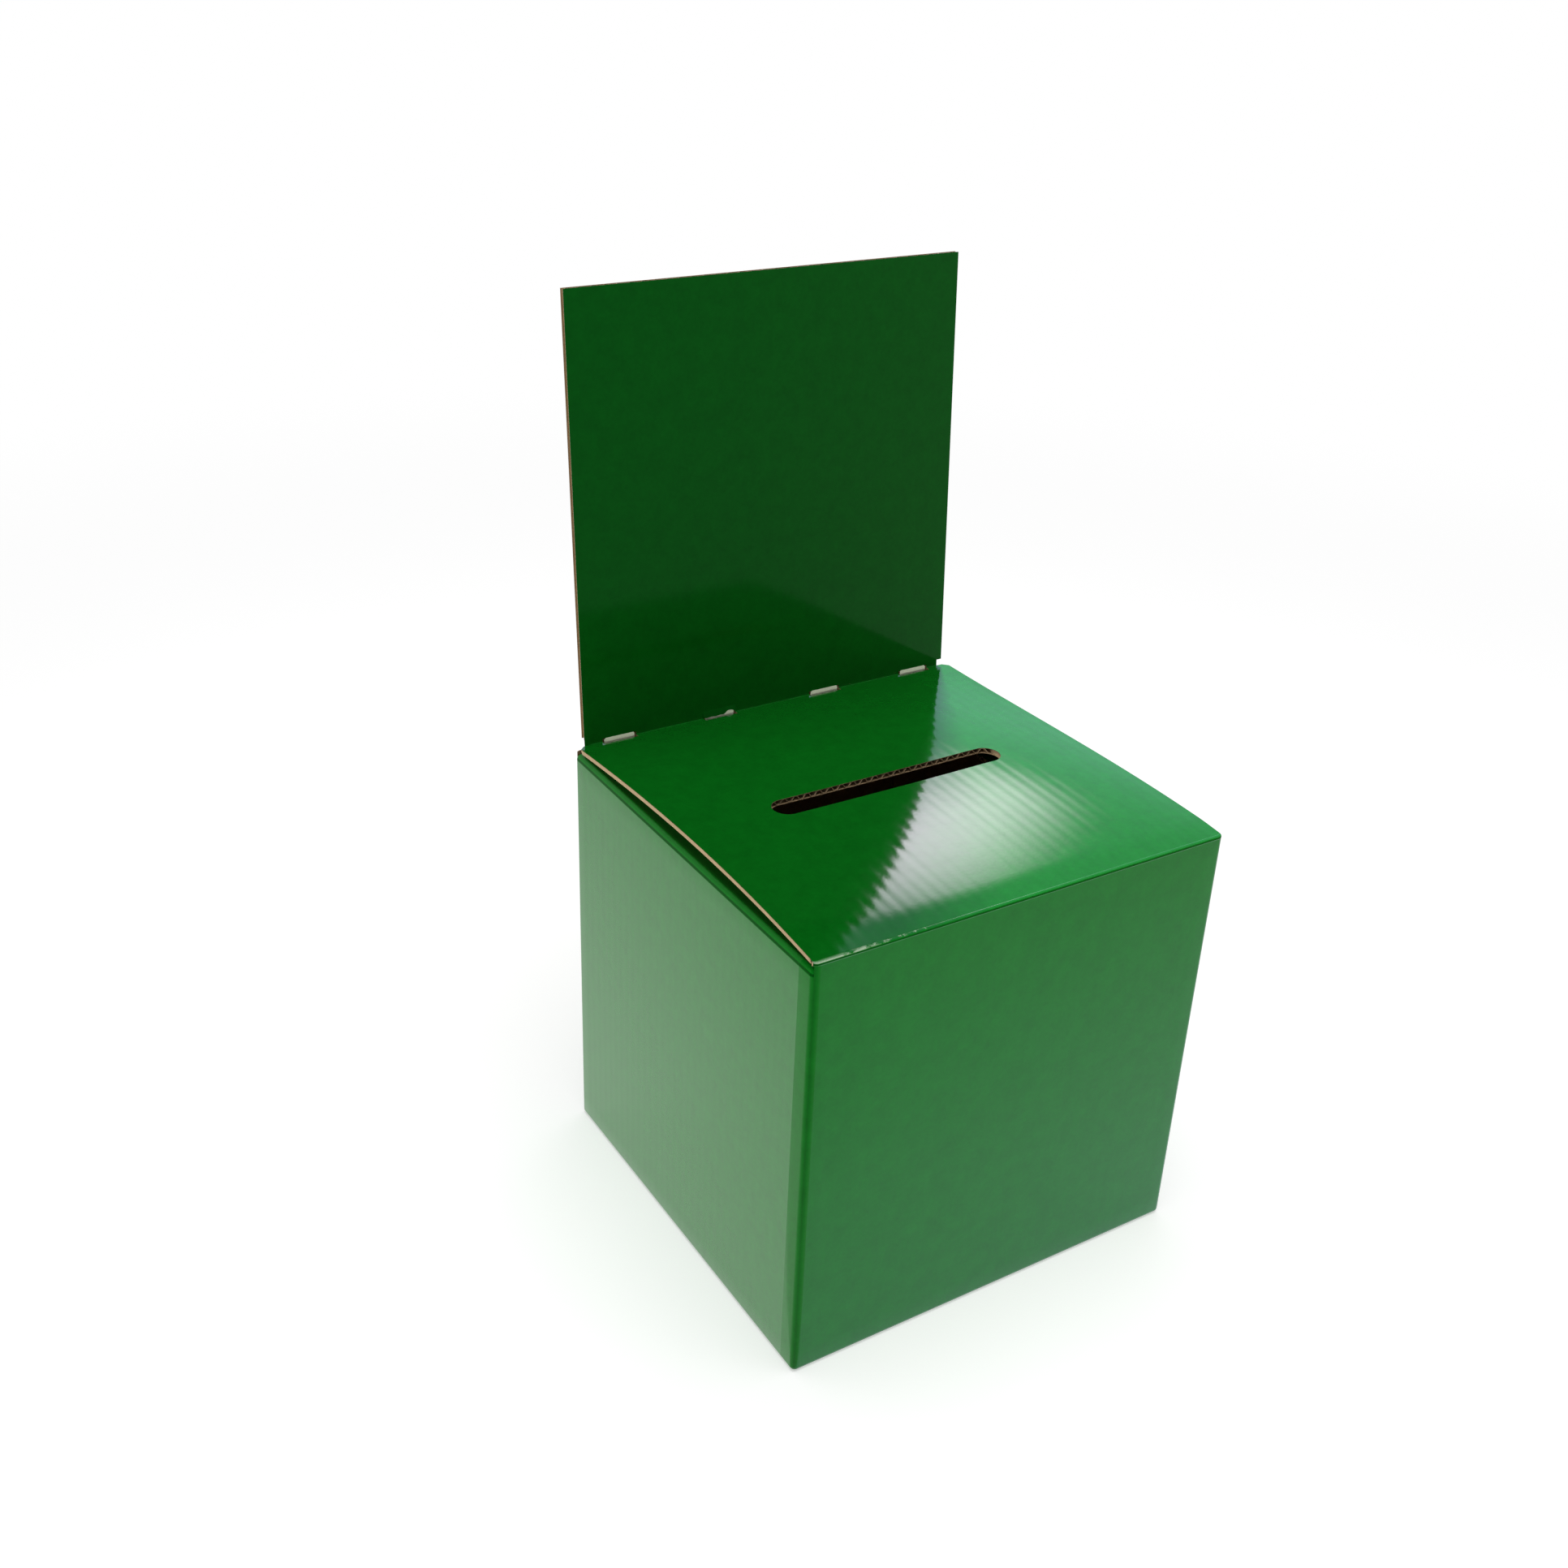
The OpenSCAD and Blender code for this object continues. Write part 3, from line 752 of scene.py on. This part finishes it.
class Wiring:
    """Adds nodes to a node tree and links them by value."""

    def __init__(self, tree):
        self.tree = tree
        tree.nodes.clear()

    def add(self, kind, inputs=None, **options):
        node = self.tree.nodes.new(kind)
        for key, value in options.items():
            setattr(node, key, value)
        for key, value in (inputs or {}).items():
            self.feed(node.inputs[key], value)
        node.location = (180 * len(self.tree.nodes), 0)
        return node

    def feed(self, socket, value):
        if isinstance(value, bpy.types.NodeSocket):
            self.tree.links.new(value, socket)
        else:
            socket.default_value = value

    def math(self, operation, *values, clamp=False):
        node = self.add("ShaderNodeMath", operation=operation, use_clamp=clamp)
        for socket, value in zip(node.inputs, values):
            self.feed(socket, value)
        return node.outputs[0]

    def plus(self, first, second, clamp=False):
        return self.math("ADD", first, second, clamp=clamp)

    def minus(self, first, second, clamp=False):
        return self.math("SUBTRACT", first, second, clamp=clamp)

    def times(self, first, second, clamp=False):
        return self.math("MULTIPLY", first, second, clamp=clamp)

    def over(self, first, second, clamp=False):
        return self.math("DIVIDE", first, second, clamp=clamp)

    def mix(self, factor, first, second):
        node = self.add("ShaderNodeMix", data_type="RGBA", clamp_factor=True)
        self.feed(node.inputs[0], factor)
        self.feed(node.inputs[6], first)
        self.feed(node.inputs[7], second)
        return node.outputs[2]

    def noise(self, vector, scale, detail=2.0, roughness=0.5):
        node = self.add("ShaderNodeTexNoise", {"Vector": vector, "Scale": scale, "Detail": detail,
                                               "Roughness": roughness})
        return node.outputs["Fac"]

    def stretched(self, vector, scale):
        return self.add("ShaderNodeVectorMath", {0: vector, 1: scale}, operation="MULTIPLY").outputs[0]

    def reach(self, vector):
        return self.add("ShaderNodeVectorMath", {0: vector}, operation="LENGTH").outputs["Value"]

    def fade(self, value, start, end, kind="LINEAR", low=0.0, high=1.0):
        """Goes from low where the value is start to high where it is end."""
        return self.add("ShaderNodeMapRange", {"Value": value, "From Min": start, "From Max": end,
                                               "To Min": low, "To Max": high},
                        interpolation_type=kind).outputs[0]

    def place(self):
        return self.add("ShaderNodeTexCoord").outputs["Object"]

    def seen(self):
        """1 for rays from the camera, in gloss and through glass, and 0 for light."""
        rays = self.add("ShaderNodeLightPath").outputs
        straight = self.math("MAXIMUM", rays["Is Camera Ray"], rays["Is Glossy Ray"])
        return self.math("MAXIMUM", straight, rays["Is Transmission Ray"])

    def group(self, tree, **inputs):
        node = self.add("ShaderNodeGroup", node_tree=tree)
        for key, value in inputs.items():
            self.feed(node.inputs[key], value)
        return node.outputs

    def emission(self, strength, colour=(1.0, 1.0, 1.0)):
        return self.add("ShaderNodeEmission", {"Color": opaque(colour), "Strength": strength}).outputs[0]

    def paper(self, height, inputs):
        """A plain surface with the given height and other inputs."""
        bump = self.add("ShaderNodeBump", {"Height": height, "Distance": 1.0, "Strength": 1.0})
        shader = self.add("ShaderNodeBsdfPrincipled", {**inputs, "Normal": bump.outputs[0]})
        self.add("ShaderNodeOutputMaterial", {"Surface": shader.outputs[0]})


SOCKETS = {"float": "NodeSocketFloat", "colour": "NodeSocketColor", "vector": "NodeSocketVector"}


def node_group(name, inputs, outputs):
    """Turns a function that wires a node group into one that gives the group and makes it only once."""
    def wrap(wire):
        def build():
            if name in bpy.data.node_groups:
                return bpy.data.node_groups[name]
            tree = bpy.data.node_groups.new(name, "ShaderNodeTree")
            for way, sockets in (("INPUT", inputs), ("OUTPUT", outputs)):
                for label, (kind, default) in sockets.items():
                    socket = tree.interface.new_socket(name=label, in_out=way, socket_type=SOCKETS[kind])
                    if default is not None:
                        socket.default_value = default
            wiring = Wiring(tree)
            enter = wiring.add("NodeGroupInput").outputs
            leave = wiring.add("NodeGroupOutput").inputs
            for label, value in wire(wiring, enter).items():
                wiring.feed(leave[label], value)
            return tree
        return build
    return wrap


@node_group("Washboard",
            {"Position": ("vector", None), "Across": ("float", 0.0), "Start": ("float", 0.0),
             "Pitch": ("float", 6.5 * MM), "Depth": ("float", 0.04 * MM), "Uneven": ("float", 0.5)},
            {"Height": ("float", None)})
def washboard_group(wiring, enter):
    """Height of the washboard that the flutes print through a liner."""
    turns = wiring.over(wiring.minus(enter["Across"], enter["Start"]), enter["Pitch"])
    wave = wiring.math("COSINE", wiring.times(turns, 2 * math.pi))
    patch = wiring.noise(enter["Position"], 60.0, detail=3.0)
    share = wiring.minus(1.0, wiring.times(patch, enter["Uneven"]))
    half = wiring.times(wiring.minus(wave, 1.0), 0.5)
    return {"Height": wiring.times(wiring.times(half, share), enter["Depth"])}


@node_group("Paper fibre",
            {"Position": ("vector", None), "Depth": ("float", 0.004 * MM), "Grain": ("float", 1.0)},
            {"Height": ("float", None)})
def fibre_group(wiring, enter):
    """Height of the fine fibres and blotches of paper."""
    scaled = wiring.add("ShaderNodeVectorMath", {0: enter["Position"], "Scale": enter["Grain"]},
                        operation="SCALE").outputs[0]
    fibres = wiring.noise(wiring.stretched(scaled, (1900.0, 1900.0, 420.0)), 1.0, detail=3.0)
    fluff = wiring.noise(scaled, 900.0, detail=4.0, roughness=0.6)
    both = wiring.plus(wiring.times(fibres, 0.6), wiring.times(fluff, 0.4))
    return {"Height": wiring.times(both, enter["Depth"])}


@node_group("Ink mottle",
            {"Colour": ("colour", (0.0, 0.1, 0.0, 1.0)), "Position": ("vector", None),
             "Amount": ("float", 0.2)},
            {"Colour": ("colour", None)})
def mottle_group(wiring, enter):
    """A colour made slightly uneven, as ink and raw paper are."""
    broad = wiring.noise(enter["Position"], 130.0, detail=3.0)
    fine = wiring.noise(enter["Position"], 500.0, detail=2.0)
    both = wiring.plus(wiring.times(broad, 0.6), wiring.times(fine, 0.4))
    swing = wiring.times(wiring.minus(both, 0.5), enter["Amount"])
    value = wiring.plus(1.0, wiring.times(swing, 2.0))
    shaded = wiring.add("ShaderNodeHueSaturation", {"Value": value, "Color": enter["Colour"]})
    return {"Colour": shaded.outputs[0]}


@node_group("Crease scuff",
            {"Position": ("vector", None), "Distance": ("float", 0.0), "Width": ("float", 0.4 * MM),
             "Amount": ("float", 0.5)},
            {"Mask": ("float", None)})
def scuff_group(wiring, enter):
    """Where handling has rubbed the ink off a crease."""
    near = wiring.minus(1.0, wiring.over(enter["Distance"], enter["Width"]), clamp=True)
    patch = wiring.noise(enter["Position"], 170.0, detail=5.0, roughness=0.7)
    gate = wiring.minus(wiring.plus(patch, enter["Amount"]), 1.0)
    return {"Mask": wiring.times(wiring.times(gate, 9.0, clamp=True), near, clamp=True)}


@node_group("Score line",
            {"Distance": ("float", 0.0), "Width": ("float", 1.2 * MM), "Slope": ("float", 0.5)},
            {"Height": ("float", None), "Shade": ("float", None)})
def score_group(wiring, enter):
    """A score line pressed in above a height: a strip of print that tilts back, and painted shade that
    darkens the print most in the middle of the strip.
    """
    share = wiring.over(enter["Distance"], enter["Width"], clamp=True)
    drop = wiring.times(wiring.times(share, enter["Width"]), enter["Slope"])
    # Painted shade, strongest in the middle of the score line
    painted_shade = wiring.times(share, wiring.minus(1.0, share))
    return {"Height": wiring.times(drop, -1.0), "Shade": wiring.times(painted_shade, 4.0)}


@node_group("Crease roll",
            {"Distance": ("float", 0.0), "Width": ("float", 10 * MM), "Slope": ("float", 0.08)},
            {"Height": ("float", None)})
def crease_roll_group(wiring, enter):
    """Height of a panel that slopes back towards a fold, where the scored board is crushed."""
    inside = wiring.math("MAXIMUM", wiring.minus(enter["Width"], enter["Distance"]), 0.0)
    return {"Height": wiring.times(wiring.times(inside, enter["Slope"]), -1.0)}


def new_material(name):
    material = bpy.data.materials.new(name)
    material.use_nodes = True
    return material, Wiring(material.node_tree)


def opaque(colour, share=1.0):
    """The colour, darkened to a share of itself, with an alpha of 1."""
    return (*(part * share for part in colour), 1.0)


def printed_board(name, axis="X", start=0.0, pitch=None, ripple=1.0, crumple=0.0, edge=None, roll_w=0.0,
                  score=None, score_w=0.0, scuff=None):
    """Glossy green print over corrugated board whose flutes follow each other along the axis. edge is
    the axis value of an upright fold that the panel slopes back to, score is the height of a score
    line with painted shade in it, and scuff rubs a crease."""
    if name in bpy.data.materials:
        return bpy.data.materials[name]
    finish = settings().finish
    material, wiring = new_material(name)
    place = wiring.place()
    parts = wiring.add("ShaderNodeSeparateXYZ", {"Vector": place}).outputs
    height = wiring.times(wiring.noise(place, 200.0, detail=0.0), finish.cockle)
    if crumple:
        height = wiring.plus(height, wiring.times(wiring.noise(place, 620.0, detail=1.0), crumple))
    if ripple:
        wave = wiring.group(washboard_group(), Position=place, Across=parts[axis], Start=start,
                            Pitch=pitch, Depth=settings().board.ripple * ripple, Uneven=0.6)
        height = wiring.plus(height, wave["Height"])
    if edge is not None:
        distance = wiring.math("ABSOLUTE", wiring.minus(parts[axis], edge))
        roll = wiring.group(crease_roll_group(), Distance=distance, Width=roll_w, Slope=0.08)
        height = wiring.plus(height, roll["Height"])
    colour = wiring.group(mottle_group(), Colour=opaque(finish.green), Position=place, Amount=0.3)["Colour"]
    if score is not None:
        line = wiring.group(score_group(), Distance=wiring.minus(parts["Z"], score), Width=score_w)
        height = wiring.plus(height, line["Height"])
        # Painted shade: the score line darkens the green towards 0.4 of itself
        colour = wiring.mix(line["Shade"], colour, opaque(finish.green, 0.4))
    blotches = wiring.noise(place, 160.0, detail=1.0)
    roughness = wiring.plus(finish.roughness, wiring.times(wiring.minus(blotches, 0.5), 0.06))
    if scuff:
        distance, amount, width = scuff(wiring, parts)
        mask = wiring.group(scuff_group(), Position=place, Distance=distance, Width=width,
                            Amount=amount)["Mask"]
        colour = wiring.mix(mask, colour, opaque(finish.worn))
        roughness = wiring.plus(roughness, wiring.times(mask, 0.5), clamp=True)
    wiring.paper(height, {"Base Color": colour, "Roughness": roughness, "IOR": 1.5,
                          "Specular Tint": opaque(finish.gloss_tint)})
    return material


def flutes_along(node, axis):
    """Start and pitch of the flutes in a panel's medium."""
    low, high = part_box(node)
    index = "XYZ".index(axis)
    return {"axis": axis, "start": low[index], "pitch": flute_spacing(high[index] - low[index])}


def lid_print():
    return printed_board("lid_green_print", ripple=0.4, crumple=settings().finish.crumple,
                         start=lid_low.x, pitch=flute_spacing(LID_W))


def wall_print(panel):
    """Print for a wall, which slopes back to an upright fold. The side walls have a score line, with painted
    shade in it.
    """
    crease = settings().crease
    folds = {"front_wall": -BOX_W / 2, "back_wall": BOX_W / 2}
    options = {"edge": folds.get(panel, FRONT_Y), "roll_w": crease.front_roll}
    if panel not in folds:
        options = {"edge": FRONT_Y, "roll_w": crease.corner_roll, "score": FOLD_Z - crease.score,
                   "score_w": crease.score_w}
    return printed_board(f"{panel}_green", ripple=0.5, **options,
                         **flutes_along(f"{panel}_flutes", "X" if panel in folds else "Y"))


def crease_print():
    """Print that is rubbed pale along the crest near the left corner, with painted shade in the score line
    below it.
    """
    crease = settings().crease

    def rubbed(wiring, parts):
        from_crest = wiring.math("ABSOLUTE", wiring.minus(parts["Z"], BOX_H - 0.25 * MM))
        from_corner = wiring.plus(parts["X"], BOX_W / 2)
        fade = wiring.minus(1.0, wiring.over(from_corner, 0.35 * BOX_W), clamp=True)
        amount = wiring.plus(0.30, wiring.times(fade, 0.42))
        return from_crest, amount, crease.scuff_w
    return printed_board("front_crease_green", ripple=0, scuff=rubbed,
                         score=BOX_H - crease.crest_score, score_w=crease.crest_score_w)


def valley_print():
    return printed_board("header_crease_green", ripple=0)


def flap_print():
    return printed_board("dust_flap_crease_green", ripple=0)


def raw_paper(name, colour, contrast, depth):
    """Uncoated paper with fibres and dark flecks. depth is the height of its fibres in millimetres."""
    if name in bpy.data.materials:
        return bpy.data.materials[name]
    material, wiring = new_material(name)
    place = wiring.place()
    fibre = wiring.group(fibre_group(), Position=place, Depth=depth * MM, Grain=0.8)
    base = wiring.group(mottle_group(), Colour=opaque(colour), Position=place, Amount=contrast)["Colour"]
    flecks = wiring.noise(wiring.stretched(place, (2600.0, 2600.0, 700.0)), 1.0, detail=1.0)
    dark = wiring.times(wiring.minus(flecks, 0.62), 6.0, clamp=True)
    base = wiring.mix(wiring.times(dark, 0.35), base, opaque(colour, 0.45))
    wiring.paper(fibre["Height"], {"Base Color": base, "Roughness": 0.85, "Specular IOR Level": 0.25})
    return material


def kraft_liner():
    return raw_paper("kraft_paper", settings().finish.kraft, 0.25, 0.02)


def fluting():
    return raw_paper("fluting_paper", settings().finish.medium, 0.3, 0.03)


# Kraft for the lock tabs with painted light: paler and greener than the other kraft
def tab_paper():
    return raw_paper("tab_paper", settings().finish.tab, 0.2, 0.02)


def cut_edge():
    return raw_paper("cut_edge_paper", settings().finish.kraft, 0.35, 0.03)


# Panels that keep their CAD shape, and the axis along which their flutes follow each other
PANELS = {
    "header": "X", "lock_tabs": "X", "glue_tab": "X",
    "left_dust_flap": "Y", "right_dust_flap": "Y",
    "bottom_front_flap": "X", "bottom_back_flap": "X", "bottom_left_flap": "Y",
    "bottom_right_flap": "Y", "lock_tongue": "X",
}


def paint(node, material):
    """Gives a CAD node its finish."""
    piece = frame["nodes"][node]
    piece.data.materials.clear()
    piece.data.materials.append(material)


class BALLOTBOX_OT_panels(bpy.types.Operator):
    """Finishes the header, tabs and flaps: green print, fluting and kraft, with painted light in the lock
    tabs' kraft
    """
    bl_idname = "ballotbox.panels"
    bl_label = "Panels"

    def execute(self, context):
        for panel, axis in PANELS.items():
            flutes = flutes_along(f"{panel}_flutes", axis)
            paint(f"{panel}_print", printed_board(f"{panel}_print_green", ripple=0.4, **flutes))
            paint(f"{panel}_flutes", fluting())
            # The lock tabs get the kraft with painted light
            paint(f"{panel}_kraft", tab_paper() if panel == "lock_tabs" else kraft_liner())
        return {"FINISHED"}


# Stage

# The fill lamps: place, width, height and the pieces that each of them lights
LAMPS = {
    "front_fill": ((0.25, -1.3, 0.35), 1.4, 0.6, ("front_wall", "front_crease", "lock_tabs")),
    "side_fill": ((-1.3, 0.1, 0.35), 1.2, 0.6,
                  ("left_wall", "left_dust", "lid_fluted", "lid_kraft", "lid_crushed", "header_flutes")),
    "back_fill": ((1.0, 1.3, 0.9), 1.4, 0.8,
                  ("back_wall", "right_", "header_kraft", "header_flutes", "lock_tabs", "header_crease")),
}
# Direction in degrees, distance and size of the key lamp, seen from the lid
KEY_AZIMUTH, KEY_ELEVATION, KEY_DISTANCE, KEY_SIZE = 34, 37, 2.2, 0.3
FLOOR_HALF = 14.0


def compass(azimuth, elevation, distance):
    """A place seen from the lid's middle at an azimuth, clockwise from +Y, and an elevation in degrees."""
    turn, rise = math.radians(azimuth), math.radians(elevation)
    way = Vector((math.sin(turn) * math.cos(rise), math.cos(turn) * math.cos(rise), math.sin(rise)))
    return Vector((0, 0, BOX_H)) + way * distance


def soft_lamp(name, place, target, width, height, power):
    """A softbox that lights the box and doesn't show in its gloss."""
    lamp = bpy.data.lights.new(name, "AREA")
    lamp.shape = "RECTANGLE"
    lamp.size = width
    lamp.size_y = height
    lamp.energy = power
    holder = bpy.data.objects.new(name, lamp)
    holder.location = place
    holder.rotation_euler = (Vector(target) - Vector(place)).to_track_quat("-Z", "Y").to_euler()
    bpy.context.scene.collection.objects.link(holder)
    holder.visible_camera = False
    holder.visible_glossy = False
    return holder


def gloss_card(name, points, material):
    """A flat piece of the stage that shows only in the gloss of the box."""
    card = make_piece(name, points, [list(range(len(points)))], [material])
    card.visible_camera = False
    card.visible_diffuse = False
    card.visible_shadow = False
    return card


def bright_card(name, outline, strength, colour, fade):
    """A card that glows and lets what is behind it through. fade gives its brightness, from 0 to 1."""
    material, wiring = new_material(name)
    glow = wiring.emission(wiring.times(fade(wiring, wiring.place()), strength), colour)
    clear = wiring.add("ShaderNodeBsdfTransparent")
    both = wiring.add("ShaderNodeAddShader", {0: clear.outputs[0], 1: glow})
    wiring.add("ShaderNodeOutputMaterial", {"Surface": both.outputs[0]})
    material.cycles.emission_sampling = "NONE"
    return gloss_card(name, [(x, y, 0) for x, y in outline], material)


def rectangle(half_w, half_h):
    return [(-half_w, -half_h), (half_w, -half_h), (half_w, half_h), (-half_w, half_h)]


class BALLOTBOX_OT_stage(bpy.types.Operator):
    """Sets up the pale floor, the soft light and the camera"""
    bl_idname = "ballotbox.stage"
    bl_label = "Stage"

    def execute(self, context):
        stage = settings().stage
        pieces = [piece for piece in context.scene.objects if piece.type == "MESH"]
        self.make_floor(stage)
        self.make_world(stage)
        self.make_lamps(stage, pieces)
        self.make_panels(stage)
        self.make_floor_cards(stage)
        self.make_flag()
        self.make_camera(context.scene, stage)
        context.scene.view_settings.view_transform = "Standard"
        return {"FINISHED"}

    def make_lamps(self, stage, pieces):
        """The overhead softbox lights everything, and each other lamp only the pieces meant for it."""
        soft_lamp("overhead_softbox", (0, -0.1, 2.2), (0, 0, 0), 1.8, 1.8, stage.overhead)
        lamps = {name: (*lamp, getattr(stage, name)) for name, lamp in LAMPS.items()}
        lamps["key_softbox"] = (compass(KEY_AZIMUTH, KEY_ELEVATION, KEY_DISTANCE), KEY_SIZE, KEY_SIZE,
                                ("lid_", "front_crease"), stage.key)
        for name, (place, width, height, panels, power) in lamps.items():
            lamp = soft_lamp(name, place, (0, 0, BOX_H / 2), width, height, power)
            lit = bpy.data.collections.new(f"lit_by_{name}")
            for piece in pieces:
                if piece.name.startswith(panels):
                    lit.objects.link(piece)
            lamp.light_linking.receiver_collection = lit

    def make_floor(self, stage):
        """A pale floor that keeps the box's shadow and turns plain white farther out."""
        material, wiring = new_material("pale_floor")
        seen = wiring.seen()
        far = wiring.fade(wiring.reach(wiring.place()), 0.45, 1.6, "SMOOTHSTEP")
        diffuse = wiring.add("ShaderNodeBsdfDiffuse", {"Color": (0.82, 0.82, 0.82, 1.0)})
        lift = wiring.emission(wiring.times(seen, stage.floor_lift))
        near = wiring.add("ShaderNodeAddShader", {0: diffuse.outputs[0], 1: lift})
        white = wiring.emission(wiring.plus(wiring.times(seen, 0.5), 0.5))
        floor_look = wiring.add("ShaderNodeMixShader", {0: far, 1: near.outputs[0], 2: white})
        wiring.add("ShaderNodeOutputMaterial", {"Surface": floor_look.outputs[0]})
        points = [(x, y, -0.02 * MM) for x, y in rectangle(FLOOR_HALF, FLOOR_HALF)]
        make_piece("floor", points, [[0, 1, 2, 3]], [material])

    def make_world(self, stage):
        """White to the camera and in gloss, and a faint light on the box."""
        world = bpy.data.worlds.new("studio")
        world.use_nodes = True
        wiring = Wiring(world.node_tree)
        strength = wiring.plus(stage.ambient, wiring.times(wiring.seen(), 1.0 - stage.ambient))
        glow = wiring.add("ShaderNodeBackground", {"Strength": strength})
        wiring.add("ShaderNodeOutputWorld", {"Surface": glow.outputs[0]})
        bpy.context.scene.world = world

    def make_panels(self, stage):
        """The window that the lid mirrors as a bright blotch, and a wide faint sky behind it."""
        window_w, window_h, sky_half = 0.366, 0.412, 2.2

        def window_fade(wiring, place):
            share = wiring.stretched(place, (1 / window_w, 1 / window_h, 0))
            return wiring.fade(wiring.reach(share), 0.0, 1.0, "SMOOTHERSTEP", low=1.0, high=0.0)

        def sky_fade(wiring, place):
            return wiring.fade(wiring.reach(place), 1.5, sky_half, low=1.0, high=0.0)

        window = bright_card("window_panel", rectangle(window_w, window_h), stage.window,
                             stage.window_tint, window_fade)
        sky = bright_card("sky_panel", rectangle(sky_half, sky_half), stage.sky, stage.sky_tint, sky_fade)
        for panel, azimuth, elevation, distance in ((window, 40.3, 34.4, 2.2), (sky, 50, 35, 3)):
            panel.location = compass(azimuth, elevation, distance)
            facing = Vector((0, 0, BOX_H)) - panel.location
            panel.rotation_euler = facing.to_track_quat("Z", "Y").to_euler()

    def make_floor_cards(self, stage):
        """Cards on the floor beside the front and left walls, which lighten their gloss."""
        def edge_fade(wiring, place):
            return wiring.fade(wiring.reach(place), 0.2, 0.75, low=1.0, high=0.0)

        left, front, white = -BOX_W / 2, FRONT_Y, (1, 1, 1)
        # Outlines in plan, in metres
        beside = ((left, front), (left, 0.6), (-0.9, 0.9), (-0.7, 0.64))
        before = ((left, front), (0.28, -0.87), (1.0, -0.7), (0.7, front))
        for card in (bright_card("left_floor_card", beside, stage.side_card, white, edge_fade),
                     bright_card("front_floor_card", before, stage.front_card, stage.front_tint, edge_fade)):
            card.location.z = 0.3 * MM

    def make_flag(self):
        """A black flag above the header that keeps the pale room out of the lid's gloss."""
        material, wiring = new_material("black_flag")
        wiring.add("ShaderNodeOutputMaterial", {"Surface": wiring.emission(0.0)})
        size, right, low = 1.2, header_high.x, header_high.z
        corners = ((-size, low), (right, low), (right, low + size), (-size, low + size))
        gloss_card("header_flag", [(x, header_high.y, z) for x, z in corners], material)

    def make_camera(self, scene, stage):
        lens = bpy.data.cameras.new("photo_camera")
        lens.sensor_width = 36
        lens.lens = stage.lens
        lens.clip_start = 0.01
        lens.clip_end = 60
        camera = bpy.data.objects.new("photo_camera", lens)
        scene.collection.objects.link(camera)
        turn = (Matrix.Rotation(-stage.camera_azimuth, 4, "Z")
                @ Matrix.Rotation(math.pi / 2 - stage.camera_pitch, 4, "X")
                @ Matrix.Rotation(stage.camera_roll, 4, "Z"))
        camera.matrix_world = Matrix.Translation(stage.camera_place) @ turn
        scene.camera = camera


# Add-on

OPERATORS = (BALLOTBOX_OT_walls, BALLOTBOX_OT_panels, BALLOTBOX_OT_lid, BALLOTBOX_OT_front_crease,
             BALLOTBOX_OT_header_crease, BALLOTBOX_OT_header_lips, BALLOTBOX_OT_dust_flap_creases,
             BALLOTBOX_OT_stage)


class BALLOTBOX_PT_panel(bpy.types.Panel):
    """Lists the steps that dress the box"""
    bl_idname = "BALLOTBOX_PT_panel"
    bl_label = "Ballot Box"
    bl_space_type = "VIEW_3D"
    bl_region_type = "UI"
    bl_category = "Ballot Box"

    def draw(self, context):
        for operator in OPERATORS:
            self.layout.operator(operator.bl_idname)
        for group, kind in GROUPS.items():
            for key in kind.__annotations__:
                self.layout.prop(getattr(context.scene.ballot_box, group), key)


CLASSES = (*GROUPS.values(), BallotBoxSettings, *OPERATORS, BALLOTBOX_PT_panel)


def register():
    for cls in CLASSES:
        bpy.utils.register_class(cls)
    bpy.types.Scene.ballot_box = bpy.props.PointerProperty(type=BallotBoxSettings)


def unregister():
    del bpy.types.Scene.ballot_box
    for cls in reversed(CLASSES):
        bpy.utils.unregister_class(cls)


def main():
    register()
    for operator in OPERATORS:
        space, call = operator.bl_idname.split(".")
        getattr(getattr(bpy.ops, space), call)()


if __name__ == "__main__":
    main()
